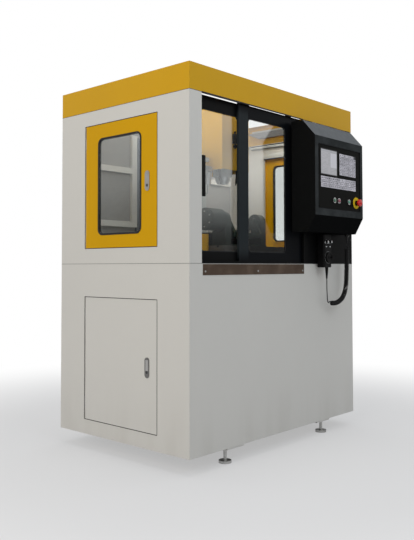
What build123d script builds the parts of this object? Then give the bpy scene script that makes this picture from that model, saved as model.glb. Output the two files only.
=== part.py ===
from build123d import *
import math
import os

os.makedirs("parts", exist_ok=True)

# Mini machining centre in its enclosure, in millimetres.
# X runs to the operator's right, Y to the back, Z up from the floor.
# The origin is on the floor under the middle of the whole machine.
# Depths count back from the front plane, and heights of the upper half from the seam.

# Enclosure
cabinet_width = 1370
cabinet_depth = 925
skirt_height = 75
lower_cabinet_height = 848
upper_cabinet_height = 769
fascia_height = 123
sheet = 2
seam_gap = 0.8
fit = 0.3
flange = 25

# Control box on the front, its heights counted from the seam
control_box_depth = 145
control_box_width = 474
control_box_margin = 125
control_box_bottom = 164
control_box_face_bottom = 249
control_box_face_top = 655
control_box_top = 740
control_box_roof_depth = 70
control_box_floor_depth = 98
e_stop_reach = 32

# Datum planes worked out from the sizes above
left_x = -cabinet_width / 2
right_x = cabinet_width / 2
front_y = (control_box_depth + e_stop_reach - cabinet_depth) / 2
rear_y = front_y + cabinet_depth
seam_z = skirt_height + lower_cabinet_height
fascia_z = seam_z + upper_cabinet_height
top_z = fascia_z + fascia_height
inner_x = right_x - sheet
inner_rear_y = rear_y - sheet
control_box_right = right_x - control_box_margin
control_box_left = control_box_right - control_box_width

# Base frame and feet
pan_height = 50
pan_wall = 5
foot_plate_length = 121
foot_plate_depth = 80
foot_plate_thickness = 8
foot_plate_inset = 314.5
foot_inset = 281
foot_y_inset = 40
foot_radius = 30
foot_pad_height = 12
stud_radius = 8
nut_radius = 12
nut_height = 12
stud_end = 8
foot_plate_x = right_x - foot_plate_inset
foot_x = right_x - foot_inset

# Door opening in the front
column_width = 80
column_return = 12
cover_plate_width = 492
sill_track_start = 12.5
sill_track_end = 46
sill_floor = 2
sill_rib = 10
sill_middle_rib = 2
door_side_gap = 1
opening_left = left_x + column_width
opening_right = right_x - cover_plate_width

# Sliding doors, each window and strap counted from its own door's left edge
door_thickness = 12
right_door_plane = 15
left_door_plane = 31
door_top_gap = 1
cover_plate_gap = 12
door_running_gap = 0.3
right_door_width = 533
left_door_width = 385
right_door_lap = 12
left_door_lap = 35
right_window_start = 72
right_window_width = 309
left_window_start = 62
left_window_width = 269
window_bottom = 54
window_height = 652
window_corner = 22
pane_thickness = 4
right_strap_starts = (3, 395)
right_strap_widths = (90, 51)
left_strap_starts = (0, 333)
left_strap_widths = (28, 50)
strap_thickness = 3
strap_reach = 56
strap_overlap = 8
guide_rib = 1.4
guide_drop = 25
guide_clearance = 0.6
guide_top = 60
handle_start = 39
handle_width = 16
handle_front = 3
handle_bar = 10
handle_bottom = 312
handle_height = 170
handle_leg = 16
right_door_left = opening_right + right_door_lap - right_door_width
left_door_left = opening_left - left_door_lap

# Guard strip under the opening and tabs of the cover plate
strip_inset = 6
strip_end_gap = 1
strip_top_drop = 3
strip_height = 50
strip_thickness = 1.5
tab_width = 40
tab_inset = 69
outer_tab_inset = 40

# Side doors, their heights counted from the seam or the skirt, the right one narrower
side_door_front = 205
left_side_door_rear = 722
right_side_door_rear = 615
upper_door_bottom = 79
upper_door_top = 693
lower_door_bottom = 75
lower_door_top = 681
door_gap = 2.5
hinge_gap = 5
hinge_depth = 2
hinge_radius = 2
hinge_length = 60
hinge_inset = 60
leaf_depth = 18
leaf_sheet = 2
jamb_depth = 20
side_window_front = 310
left_side_window_rear = 628
right_side_window_rear = 558
side_window_bottom = 141
side_window_top = 624
side_window_corner = 32
gasket_width = 9
gasket_proud = 2
gasket_depth = 12

# Flush latches
latch_y = 269
upper_latch_z = 384
lower_latch_z = 370
latch_width = 30
latch_height = 94
latch_plate = 2.5
latch_cup_depth = 14
latch_cup_side = 4.3
latch_cup_end = 8
paddle_width = 17.2
paddle_height = 49.2
paddle_thickness = 3
paddle_clearance = 0.4
paddle_top_clearance = 1
paddle_recess_depth = 9
paddle_top_inset = 12
paddle_pin_radius = 1.2
paddle_pin_reach = 1.2
paddle_pin_drop = 2.1
paddle_pin_clearance = 0.05

# Operator panel, its places counted from the control box and its heights from the seam
panel_left_margin = 29
panel_right_margin = 24
panel_bottom = 284
panel_top = 617
panel_lap = 10
panel_thickness = 3
screen_inset = 25
screen_width = 153
screen_bottom = 463
screen_top = 592
screen_thickness = 1.5
keypad_gap = 27
keypad_width = 166
keypad_bottom = 470
keypad_top = 585
strip_pad_bottom = 394
strip_pad_top = 452
key_sheet = 0.8
button_z = 332
start_button_inset = 151
stop_button_inset = 194
program_button_inset = 295
e_stop_inset = 375
button_radius = 10
button_length = 9
bezel_wall = 4
bezel_height = 5
button_travel = 3.5
e_stop_plate_radius = 31
e_stop_plate = 1.5
e_stop_collar = 14
e_stop_collar_height = 10
e_stop_stem = 9.7
e_stop_head = 20
e_stop_crown = 12
e_stop_crown_drop = 6
panel_left = control_box_left + panel_left_margin
panel_right = control_box_right - panel_right_margin
screen_left = panel_left + screen_inset
screen_right = screen_left + screen_width
keypad_left = screen_right + keypad_gap
keypad_right = keypad_left + keypad_width

# Pendant on its hook
pendant_start = 213
pendant_width = 74
pendant_bottom = -20
pendant_height = 180
pendant_front = 60
pendant_depth = 50
pendant_corner = 11
pendant_edge = 4
boot_length = 60
boot_radius = 9.5
boot_tip = 4
tail_front = 46
hook_width = 50
hook_bottom = 60
hook_height = 100
handwheel_radius = 29
handwheel_height = 10
handwheel_z = 34
handwheel_gap = 0.3
crank_knob_radius = 6
crank_knob_offset = 17
crank_knob_height = 10
knob_radius = 9
knob_height = 13
knob_z = 118
knob_spread = 18
pendant_left = control_box_left + pendant_start

# Cast bed on its pedestal
bed_rear_gap = 55
bed_width = 540
bed_length = 710
bed_height = 120
bed_rib = 30
bed_deck = 30
pedestal_top = 760
pedestal_side = 20
pedestal_lap = 10
pedestal_wall = 6
rail_width = 20
rail_height = 20
rail_gap = 0.3
rail_end_gap = 2
y_rail_x = 150
y_rail_inset = 6
bed_rear = cabinet_depth - bed_rear_gap
bed_front = bed_rear - bed_length
bed_top = pedestal_top + bed_height
pedestal_width = bed_width + 2 * pedestal_side
pedestal_front = bed_front - pedestal_lap
pedestal_rear = bed_rear + pedestal_lap

# Column and its rails
column_rear_step = 10
column_length = 220
column_body = 260
column_wall = 26
column_height = 760
column_foot_height = 60
column_flare_height = 120
column_foot_width = 400
column_foot_reach = 40
z_rail_x = 60
z_rail_proud = 18
z_rail_start = 250
z_rail_inset = 10
column_rear = bed_rear - column_rear_step
column_front = column_rear - column_length
column_foot_front = column_front - column_foot_reach
column_top = bed_top + column_height
z_rail_bottom = bed_top + z_rail_start
z_rail_top = column_top - z_rail_inset

# Spindle head and its cover
throat = 240
head_height = 240
head_plate_reach = 50
head_plate_gap = 4
head_body_width = 160
head_body_reach = 60
head_body_rise = 60
cartridge_radius = 52
spindle_radius = 35.9
spindle_bore = 36
spindle_nose = 40
spindle_nose_drop = 40
spindle_tip = 30
spindle_tip_rise = 22
spindle_hold = 100
taper_mouth = 16
taper_small = 12
taper_depth = 50
cover_width = 224
cover_reach = 34
cover_lap = 10
cover_rise = 27
cover_over = 135
spindle_y = column_front - throat
head_top = column_top
head_bottom = head_top - head_height
head_plate_front = column_front - head_plate_reach
head_plate_width = cover_width - 2 * (sheet + fit)
head_body_front = spindle_y - head_body_reach
head_body_bottom = head_bottom + head_body_rise
spindle_nose_z = head_bottom - spindle_nose_drop
spindle_top = head_bottom + spindle_hold
cover_front = head_body_front - cover_reach
cover_rear = head_plate_front + cover_lap
cover_bottom = head_bottom + cover_rise
cover_top = head_top + cover_over

# Saddle, table and rotary unit
saddle_gap = 4
saddle_height = 66
saddle_width = 380
saddle_depth = 220
work_offset = 120
x_rail_y = 70
table_height = 61
table_width = 520
table_depth = 220
t_slot_width = 12
t_slot_depth = 10
trunnion_rise = 135
trunnion_base = 10
trunnion_inner = 125
trunnion_support = 45
trunnion_support_depth = 100
trunnion_round = 45
rotary_motor_radius = 58
rotary_motor_length = 105
stub_radius = 18
stub_clearance = 0.1
stub_length = 28
cradle_side_gap = 5
cradle_arm = 20
cradle_depth = 120
cradle_floor_drop = 88
cradle_floor = 24
cradle_arm_round = 25
faceplate_radius = 60
faceplate_height = 17.7
faceplate_bore = 12.5
faceplate_hole = 3.4
faceplate_pcd = 90
faceplate_shaft = 25
faceplate_shaft_length = 15
work_y = spindle_y - work_offset
saddle_bottom = bed_top + saddle_gap
saddle_top = saddle_bottom + saddle_height
table_bottom = saddle_top + saddle_gap
table_top = table_bottom + table_height
trunnion_axis_z = table_top + trunnion_rise
cradle_half_width = trunnion_inner - cradle_side_gap

# Tool carousel and the bracket that carries it
carousel_side_gap = 28
carousel_radius = 110
carousel_thickness = 25
carousel_hub = 30
carousel_shaft = 10
carousel_shaft_length = 12
holder_flats = 22
holder_nut_height = 28
holder_count = 8
holder_pcd = 170
holder_drop = 70
holder_taper = 9
carrier_rise = 65
carrier_thickness = 20
carrier_hold = 80
carrier_motor_radius = 35
carrier_motor_height = 75
carrier_post_width = 60
carousel_x = -cover_width / 2 - carousel_side_gap - carousel_radius
carousel_z = head_bottom
carrier_left = carousel_x - carrier_motor_radius
carrier_z = carousel_z + carrier_rise
carrier_front = spindle_y - carrier_motor_radius
carrier_rear = column_front + carrier_hold

# Inside the cabinet
tray_floor_drop = 53
tray_upstand = 45
tray_hole_gap = 5
tray_side_gap = 5
tray_wall_inset = 20
tank_side_gap = 25
tank_inner_gap = 30
tank_front = 60
tank_rear_gap = 65
tank_height = 240
pump_radius = 60
pump_height = 200
pump_y = 200
electrics_side_gap = 35
electrics_inner_gap = 40
electrics_front = 100
electrics_length = 500
electrics_height = 700
electrics_left = pedestal_width / 2 + electrics_inner_gap
electrics_right = right_x - electrics_side_gap
electrics_middle = electrics_front + electrics_length / 2

# Ribs, posts and cooling slots of the rear wall
rib_start = 20
rib_length = 453
rib_height = 32
rib_depth = 20
rib_levels = (213, 520)
post_width = 38
vent_slot_length = 90
vent_slot_width = 6
vent_pitch = 18
vent_rows = 8

# Cords of the pendant
curly_radius = 13.5
straight_radius = 2.7
arc_share = 0.45
gland_radius = 15
gland_height = 14
gland_margin = 38
gland_x = control_box_right - gland_margin
tail_offset = 180


def slab(x_span, y_span, z_span, mode=Mode.ADD):
    """Adds or cuts a rectangular block given by its two limits along each axis."""
    spans = (x_span, y_span, z_span)
    centre = tuple((low + high) / 2 for low, high in spans)
    size = [abs(high - low) for low, high in spans]
    with Locations(centre):
        Box(*size, mode=mode)


def ring(x_span, y_span, z_span, wall):
    """Adds an upright rectangular tube wall whose outer limits are given."""
    slab(x_span, y_span, z_span)
    inner_x_span = (x_span[0] + wall, x_span[1] - wall)
    inner_y_span = (y_span[0] + wall, y_span[1] - wall)
    slab(inner_x_span, inner_y_span, z_span, Mode.SUBTRACT)


def keep(piece, name):
    """Labels a finished piece and writes it."""
    piece.part.label = name
    export_step(piece.part, f"parts/{name}.step")


def depth(distance):
    """Y of a place that lies this far behind the front plane."""
    return front_y + distance


# Welded base pan with pedestal and foot plates
with BuildPart() as base_frame:
    slab(
        (-inner_x + fit, inner_x - fit),
        (depth(sheet + fit), inner_rear_y - fit),
        (skirt_height, skirt_height + pan_height),
    )
    offset(amount=-pan_wall, openings=base_frame.faces().sort_by(Axis.Z)[-1])
    pan_floor_z = skirt_height + pan_wall
    slab(
        (-pedestal_width / 2, pedestal_width / 2),
        (depth(pedestal_front), depth(pedestal_rear)),
        (pan_floor_z, pedestal_top),
    )
    slab(
        (-pedestal_width / 2 + pedestal_wall, pedestal_width / 2 - pedestal_wall),
        (depth(pedestal_front + pedestal_wall), depth(pedestal_rear - pedestal_wall)),
        (pan_floor_z, pedestal_top - pedestal_wall),
        Mode.SUBTRACT,
    )
    foot_plate_y = (
        depth(sheet + fit + foot_plate_depth / 2),
        inner_rear_y - fit - foot_plate_depth / 2,
    )
    plate_z = skirt_height - foot_plate_thickness / 2
    plate_places = [(x, y, plate_z) for x in (-foot_plate_x, foot_plate_x) for y in foot_plate_y]
    with Locations(plate_places):
        Box(foot_plate_length, foot_plate_depth, foot_plate_thickness)
    foot_y = (depth(foot_y_inset), rear_y - foot_y_inset)
    foot_places = [(x, y) for x in (-foot_x, foot_x) for y in foot_y]
    with BuildSketch(Plane.XY.offset(skirt_height - foot_plate_thickness)):
        with Locations(foot_places):
            Circle(stud_radius + fit)
    extrude(amount=foot_plate_thickness + pan_wall, mode=Mode.SUBTRACT)
keep(base_frame, "base_frame")

# Levelling feet with their lock nuts
stud_top = skirt_height + pan_wall + stud_end
nut_z = skirt_height - foot_plate_thickness - nut_height
with BuildPart() as levelling_feet:
    with BuildSketch(Plane.XY):
        with Locations(foot_places):
            Circle(foot_radius)
    extrude(amount=foot_pad_height)
    with BuildSketch(Plane.XY.offset(foot_pad_height)):
        with Locations(foot_places):
            Circle(stud_radius)
    extrude(amount=stud_top - foot_pad_height)
    with BuildSketch(Plane.XY.offset(nut_z)):
        with Locations(foot_places):
            RegularPolygon(nut_radius, 6)
    extrude(amount=nut_height)
keep(levelling_feet, "levelling_feet")

# Lower front panel with its top return
with BuildPart() as lower_front_panel:
    with BuildSketch(Plane.YZ.offset(-inner_x + fit)):
        with BuildLine():
            fold = Polyline((front_y, skirt_height), (front_y, seam_z), (depth(flange), seam_z))
            offset(fold, amount=sheet, side=Side.RIGHT, kind=Kind.INTERSECTION)
        make_face()
    extrude(amount=2 * (inner_x - fit))
keep(lower_front_panel, "lower_front_panel")


def opening_jamb(side, y_span, z_span):
    """Cuts a door opening in a side wall and folds its edges inwards."""
    wall_plane = Plane.YZ.offset(side * right_x)
    centre = ((y_span[0] + y_span[1]) / 2, (z_span[0] + z_span[1]) / 2)
    width = y_span[1] - y_span[0]
    height = z_span[1] - z_span[0]
    with BuildSketch(wall_plane) as folded_edge:
        with Locations(centre):
            Rectangle(width + 2 * sheet, height + 2 * sheet)
    extrude(folded_edge.sketch, amount=-side * jamb_depth)
    with BuildSketch(wall_plane) as doorway:
        with Locations(centre):
            Rectangle(width, height)
    extrude(doorway.sketch, amount=-side * jamb_depth, mode=Mode.SUBTRACT)


def side_wall(side, start_y, end_y, z_span):
    """Adds the plain sheet of a side wall, its outer face on the cabinet's side plane."""
    outer = side * right_x
    inner = side * inner_x
    slab((min(outer, inner), max(outer, inner)), (start_y, end_y), z_span)


def wall_return(side, start_y, end_y, top):
    """Adds the inward flange along the top of a side wall."""
    inner = side * inner_x
    edge = side * (inner_x - flange)
    slab((min(edge, inner), max(edge, inner)), (start_y, end_y), (top - sheet, top))


side_opening_front = depth(side_door_front - door_gap)
left_opening_y = (side_opening_front, depth(left_side_door_rear) + hinge_gap)
right_opening_y = (side_opening_front, depth(right_side_door_rear) + hinge_gap)
lower_opening_z = (
    skirt_height + lower_door_bottom - door_gap,
    skirt_height + lower_door_top + door_gap,
)
upper_opening_z = (seam_z + upper_door_bottom - door_gap, seam_z + upper_door_top + door_gap)
lower_wall_z = (skirt_height, seam_z)
upper_wall_z = (seam_z + seam_gap, fascia_z - seam_gap)

# Lower left panel with its door opening
with BuildPart() as lower_left_panel:
    side_wall(-1, front_y, rear_y, lower_wall_z)
    wall_return(-1, depth(flange + sheet), inner_rear_y - flange, seam_z)
    opening_jamb(-1, left_opening_y, lower_opening_z)
keep(lower_left_panel, "lower_left_panel")

# Lower right panel with two columns of cooling slots
with BuildPart() as lower_right_panel:
    side_wall(1, front_y, rear_y, lower_wall_z)
    wall_return(1, depth(flange + sheet), inner_rear_y - flange, seam_z)
    with BuildSketch(Plane.YZ.offset(inner_x)):
        with Locations((depth(electrics_middle), (skirt_height + seam_z) / 2)):
            with GridLocations(2 * vent_slot_length, vent_pitch, 2, vent_rows):
                Rectangle(vent_slot_length, vent_slot_width)
    extrude(amount=sheet, mode=Mode.SUBTRACT)
keep(lower_right_panel, "lower_right_panel")

# Upper left wall, folded round into the front column
with BuildPart() as upper_left_panel:
    column_edge = left_x + column_width
    with BuildSketch(Plane.XY.offset(upper_wall_z[0])):
        with BuildLine():
            fold = Polyline(
                (column_edge, depth(column_return)),
                (column_edge, front_y),
                (left_x, front_y),
                (left_x, rear_y),
            )
            offset(fold, amount=sheet, side=Side.RIGHT, kind=Kind.INTERSECTION)
        make_face()
    extrude(amount=upper_wall_z[1] - upper_wall_z[0])
    wall_return(-1, depth(sill_track_end + flange), inner_rear_y - flange, upper_wall_z[1])
    opening_jamb(-1, left_opening_y, upper_opening_z)
keep(upper_left_panel, "upper_left_panel")

# Upper right wall with a narrow flange behind the front cover plate
with BuildPart() as upper_right_panel:
    cover_back = depth(sheet + fit)
    with BuildSketch(Plane.XY.offset(upper_wall_z[0])):
        with BuildLine():
            fold = Polyline(
                (right_x - column_return, cover_back),
                (right_x, cover_back),
                (right_x, rear_y),
            )
            offset(fold, amount=sheet, side=Side.LEFT, kind=Kind.INTERSECTION)
        make_face()
    extrude(amount=upper_wall_z[1] - upper_wall_z[0])
    wall_return(1, depth(sill_track_end + flange), inner_rear_y - flange, upper_wall_z[1])
    opening_jamb(1, right_opening_y, upper_opening_z)
keep(upper_right_panel, "upper_right_panel")

# Rear wall with horizontal ribs and posts on its inner face, and cooling slots below
with BuildPart() as rear_panel:
    slab(
        (-inner_x + fit, inner_x - fit),
        (inner_rear_y, rear_y),
        (skirt_height, fascia_z - seam_gap),
    )
    rib_y = (inner_rear_y - rib_depth, inner_rear_y)
    for side in (-1, 1):
        post_near = side * (right_x - rib_start - rib_length)
        post_far = side * (right_x - rib_start - rib_length - post_width)
        slab(
            (min(post_near, post_far), max(post_near, post_far)),
            rib_y,
            (seam_z + rib_levels[0], fascia_z - flange),
        )
        for level in rib_levels:
            rib_outer = side * (right_x - rib_start)
            slab(
                (min(rib_outer, post_near), max(rib_outer, post_near)),
                rib_y,
                (seam_z + level, seam_z + level + rib_height),
            )
    with BuildSketch(Plane.XZ.offset(-inner_rear_y)):
        with Locations(((electrics_left + electrics_right) / 2, (skirt_height + seam_z) / 2)):
            with GridLocations(2 * vent_slot_length, vent_pitch, 2, vent_rows):
                Rectangle(vent_slot_length, vent_slot_width)
    extrude(amount=-sheet, mode=Mode.SUBTRACT)
keep(rear_panel, "rear_panel")

# Yellow fascia ring with its top return and the guide channels of the sliding doors
strap_bands = []
for plane in (right_door_plane, left_door_plane):
    back = plane + door_thickness
    strap_bands.append((back - strap_thickness, back))
with BuildPart() as roof_fascia:
    ring((left_x, right_x), (front_y, rear_y), (fascia_z, top_z), sheet)
    return_z = (top_z - sheet, top_z)
    slab((left_x, right_x), (front_y, rear_y), return_z)
    slab(
        (left_x + flange, right_x - flange),
        (front_y + flange, rear_y - flange),
        return_z,
        Mode.SUBTRACT,
    )
    web_z = (fascia_z + guide_top - sheet, fascia_z + guide_top)
    rib_z = (web_z[0] - guide_drop, web_z[0])
    guide_x = (-inner_x, inner_x)
    slab(guide_x, (depth(sheet), depth(sill_track_end)), web_z)
    for band in strap_bands:
        front_rib = band[0] - guide_clearance
        rear_rib = band[1] + guide_clearance
        slab(guide_x, (depth(front_rib - guide_rib), depth(front_rib)), rib_z)
        slab(guide_x, (depth(rear_rib), depth(rear_rib + guide_rib)), rib_z)
keep(roof_fascia, "roof_fascia")

# Black front cover plate with top tabs and the pendant hook
door_top_z = fascia_z - door_top_gap
cover_plate_top = fascia_z - cover_plate_gap
pendant_centre_x = pendant_left + pendant_width / 2
with BuildPart() as front_cover_plate:
    slab((opening_right, right_x), (front_y, depth(sheet)), (seam_z + seam_gap, cover_plate_top))
    slab(
        (opening_right, opening_right + sheet),
        (front_y, depth(column_return - sheet)),
        (seam_z + seam_gap, cover_plate_top),
    )
    for tab_x in (opening_right + tab_inset, right_x - outer_tab_inset):
        slab(
            (tab_x - tab_width / 2, min(tab_x + tab_width / 2, inner_x - column_return)),
            (depth(sheet), depth(2 * sheet)),
            (cover_plate_top - tab_width, fascia_z + tab_width / 2),
        )
    hook_z = seam_z + hook_bottom
    hook_x = (pendant_centre_x - hook_width / 2, pendant_centre_x + hook_width / 2)
    pendant_back = pendant_front - pendant_depth
    slab(hook_x, (front_y - pendant_back + fit, front_y), (hook_z, hook_z + hook_height))
keep(front_cover_plate, "front_cover_plate")

# Sill track with a rib each side of both doors
with BuildPart() as door_sill_track:
    sill_x = (-inner_x + fit, inner_x - fit)
    slab(sill_x, (depth(sill_track_start), depth(sill_track_end)), (seam_z, seam_z + sill_floor))
    middle = (right_door_plane + door_thickness + left_door_plane) / 2
    rib_bands = (
        (sill_track_start, right_door_plane - door_side_gap),
        (middle - sill_middle_rib / 2, middle + sill_middle_rib / 2),
        (left_door_plane + door_thickness + door_side_gap, sill_track_end),
    )
    for low, high in rib_bands:
        slab(sill_x, (depth(low), depth(high)), (seam_z, seam_z + sill_rib))
keep(door_sill_track, "door_sill_track")

# Stainless guard strip under the door opening
with BuildPart() as sill_guard_strip:
    strip_top = seam_z - strip_top_drop
    slab(
        (opening_left + strip_inset, opening_right - strip_end_gap),
        (front_y - strip_thickness, front_y),
        (strip_top - strip_height, strip_top),
    )
keep(sill_guard_strip, "sill_guard_strip")


def sliding_door(plane, left, width, window_x, straps):
    """Returns a folded door frame with a rounded window and hanger straps."""
    bottom = seam_z + sill_floor + door_running_gap
    front_plane = Plane.XZ.offset(-depth(plane))
    with BuildPart() as frame:
        with BuildSketch(front_plane):
            with Locations((left + width / 2, (bottom + door_top_z) / 2)):
                Rectangle(width, door_top_z - bottom)
            window_z = seam_z + window_bottom + window_height / 2
            with Locations(((window_x[0] + window_x[1]) / 2, window_z)):
                RectangleRounded(
                    window_x[1] - window_x[0], window_height, window_corner, mode=Mode.SUBTRACT
                )
        extrude(amount=-door_thickness)
        offset(amount=-sheet, openings=frame.faces().sort_by(Axis.Y)[-1])
        back = plane + door_thickness
        for strap_start, strap_width in straps:
            slab(
                (left + strap_start, left + strap_start + strap_width),
                (depth(back - strap_thickness), depth(back)),
                (door_top_z - strap_overlap, fascia_z + strap_reach),
            )
    return frame


def sliding_pane(plane, window_x):
    """Returns the clear pane that sits in a sliding door's window."""
    pane_front = plane + (door_thickness - pane_thickness) / 2
    with BuildPart() as pane:
        with BuildSketch(Plane.XZ.offset(-depth(pane_front))):
            window_z = seam_z + window_bottom + window_height / 2
            with Locations(((window_x[0] + window_x[1]) / 2, window_z)):
                RectangleRounded(
                    window_x[1] - window_x[0] - 2 * fit,
                    window_height - 2 * fit,
                    window_corner - fit,
                )
        extrude(amount=-pane_thickness)
    return pane


# Sliding doors, the right one on the front track
right_window = (
    right_door_left + right_window_start,
    right_door_left + right_window_start + right_window_width,
)
left_window = (
    left_door_left + left_window_start,
    left_door_left + left_window_start + left_window_width,
)
right_sliding_door = sliding_door(
    right_door_plane,
    right_door_left,
    right_door_width,
    right_window,
    zip(right_strap_starts, right_strap_widths),
)
keep(right_sliding_door, "right_sliding_door")
right_door_window = sliding_pane(right_door_plane, right_window)
keep(right_door_window, "right_door_window")
left_sliding_door = sliding_door(
    left_door_plane,
    left_door_left,
    left_door_width,
    left_window,
    zip(left_strap_starts, left_strap_widths),
)
keep(left_sliding_door, "left_sliding_door")
left_door_window = sliding_pane(left_door_plane, left_window)
keep(left_door_window, "left_door_window")

# Vertical pull on the left sliding door
with BuildPart() as left_door_handle:
    handle_z = seam_z + handle_bottom
    with BuildSketch(Plane.YZ.offset(left_door_left + handle_start)):
        with BuildLine():
            grip = Polyline(
                (depth(left_door_plane), handle_z),
                (depth(handle_front), handle_z),
                (depth(handle_front), handle_z + handle_height),
                (depth(left_door_plane), handle_z + handle_height),
                (depth(left_door_plane), handle_z + handle_height - handle_leg),
                (depth(handle_front + handle_bar), handle_z + handle_height - handle_leg),
                (depth(handle_front + handle_bar), handle_z + handle_leg),
                (depth(left_door_plane), handle_z + handle_leg),
                close=True,
            )
        make_face()
    extrude(amount=handle_width)
    fillet(left_door_handle.edges().filter_by(Axis.X).group_by(Axis.Y)[0], handle_bar / 2)
keep(left_door_handle, "left_door_handle")


side_door_rears = {-1: left_side_door_rear, 1: right_side_door_rear}
side_window_rears = {-1: left_side_window_rear, 1: right_side_window_rear}
side_window_z = seam_z + (side_window_bottom + side_window_top) / 2
side_window_height = side_window_top - side_window_bottom


def side_window(side, inset, mode=Mode.ADD):
    """Draws the rounded outline of a side door's window, drawn in by an inset."""
    rear = side_window_rears[side]
    with Locations((depth((side_window_front + rear) / 2), side_window_z)):
        RectangleRounded(
            rear - side_window_front - 2 * inset,
            side_window_height - 2 * inset,
            side_window_corner - inset,
            mode=mode,
        )


def side_leaf(side, z_span, latch_z, windowed):
    """Returns a folded door leaf for a side wall, with a latch hole and perhaps a window."""
    leaf_plane = Plane.YZ.offset(side * right_x)
    with BuildPart() as leaf:
        with BuildSketch(leaf_plane):
            rear = side_door_rears[side]
            with Locations((depth((side_door_front + rear) / 2), sum(z_span) / 2)):
                Rectangle(rear - side_door_front, z_span[1] - z_span[0])
            if windowed:
                side_window(side, 0, Mode.SUBTRACT)
        extrude(amount=-side * leaf_depth)
        inner_face = leaf.faces().sort_by(Axis.X)[0 if side > 0 else -1]
        offset(amount=-leaf_sheet, openings=inner_face)
        with BuildSketch(leaf_plane):
            with Locations((depth(latch_y), latch_z)):
                Rectangle(
                    latch_width - 2 * latch_cup_side + 2 * fit,
                    latch_height - 2 * latch_cup_end + 2 * fit,
                )
        extrude(amount=-side * leaf_sheet, mode=Mode.SUBTRACT)
    return leaf


def window_gasket(side):
    """Returns the rubber gasket that lines a side door's window."""
    with BuildPart() as gasket:
        with BuildSketch(Plane.YZ.offset(side * (right_x + gasket_proud))):
            side_window(side, fit)
            side_window(side, gasket_width, Mode.SUBTRACT)
        extrude(amount=-side * (gasket_depth + gasket_proud))
    return gasket


def side_pane(side):
    """Returns the pane held by a side door's gasket."""
    with BuildPart() as pane:
        with BuildSketch(Plane.YZ.offset(side * (right_x - pane_thickness / 2))):
            side_window(side, gasket_width + fit)
        extrude(amount=-side * pane_thickness)
    return pane


def paddle_pivot(side, latch_z, radius, reach, mode=Mode.ADD):
    """Adds the cross pin of a latch paddle, or cuts the holes that it turns in."""
    pivot_x = side * (right_x + latch_plate - paddle_thickness / 2)
    pivot_z = latch_z + latch_height / 2 - paddle_top_inset - paddle_pin_drop
    half_width = paddle_width / 2 + reach
    with BuildSketch(Plane.XZ.offset(-depth(latch_y) - half_width)) as pin:
        with Locations((pivot_x, pivot_z)):
            Circle(radius)
    extrude(pin.sketch, amount=2 * half_width, mode=mode)


def latch_housing(side, latch_z):
    """Returns a flush latch housing with a recess and pivot holes for its paddle."""
    centre = (depth(latch_y), latch_z)
    face_plane = Plane.YZ.offset(side * (right_x + latch_plate))
    recess_bottom = latch_z + latch_height / 2 - paddle_top_inset - paddle_height - paddle_clearance
    recess_top = latch_z + latch_height / 2 - paddle_top_inset + paddle_top_clearance
    with BuildPart() as housing:
        with BuildSketch(face_plane):
            with Locations(centre):
                SlotOverall(latch_height, latch_width, rotation=90)
        extrude(amount=-side * latch_plate)
        with BuildSketch(Plane.YZ.offset(side * right_x)):
            with Locations(centre):
                Rectangle(latch_width - 2 * latch_cup_side, latch_height - 2 * latch_cup_end)
        extrude(amount=-side * latch_cup_depth)
        with BuildSketch(face_plane):
            with Locations((depth(latch_y), (recess_bottom + recess_top) / 2)):
                Rectangle(paddle_width + 2 * paddle_clearance, recess_top - recess_bottom)
        extrude(amount=-side * paddle_recess_depth, mode=Mode.SUBTRACT)
        pivot_radius = paddle_pin_radius + paddle_pin_clearance
        paddle_pivot(side, latch_z, pivot_radius, paddle_pin_reach + fit, Mode.SUBTRACT)
    return housing


def latch_paddle(side, latch_z):
    """Returns the paddle that lies flush in a latch housing."""
    top = latch_z + latch_height / 2 - paddle_top_inset
    with BuildPart() as paddle:
        with BuildSketch(Plane.YZ.offset(side * (right_x + latch_plate))):
            with Locations((depth(latch_y), top - paddle_height / 2)):
                Rectangle(paddle_width, paddle_height)
        extrude(amount=-side * paddle_thickness)
        paddle_pivot(side, latch_z, paddle_pin_radius, paddle_pin_reach)
    return paddle


upper_leaf_z = (seam_z + upper_door_bottom, seam_z + upper_door_top)
lower_leaf_z = (skirt_height + lower_door_bottom, skirt_height + lower_door_top)
upper_latch = seam_z + upper_latch_z
lower_latch = skirt_height + lower_latch_z
for side, side_name in ((-1, "left"), (1, "right")):
    keep(side_leaf(side, upper_leaf_z, upper_latch, True), f"upper_{side_name}_door")
    keep(window_gasket(side), f"upper_{side_name}_gasket")
    keep(side_pane(side), f"upper_{side_name}_window")
    keep(latch_housing(side, upper_latch), f"upper_{side_name}_latch")
    keep(latch_paddle(side, upper_latch), f"upper_{side_name}_paddle")
keep(side_leaf(-1, lower_leaf_z, lower_latch, False), "lower_left_door")
keep(latch_housing(-1, lower_latch), "lower_left_latch")
keep(latch_paddle(-1, lower_latch), "lower_left_paddle")

# Hinge pins in the rear gap of the three side doors
with BuildPart() as door_hinge_pins:
    for side, z_span in ((-1, upper_leaf_z), (1, upper_leaf_z), (-1, lower_leaf_z)):
        pin_x = side * (right_x - hinge_depth)
        pin_y = depth(side_door_rears[side]) + hinge_gap / 2
        for pin_bottom in (z_span[0] + hinge_inset, z_span[1] - hinge_inset - hinge_length):
            with BuildSketch(Plane.XY.offset(pin_bottom)):
                with Locations((pin_x, pin_y)):
                    Circle(hinge_radius)
            extrude(amount=hinge_length)
keep(door_hinge_pins, "door_hinge_pins")

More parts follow.
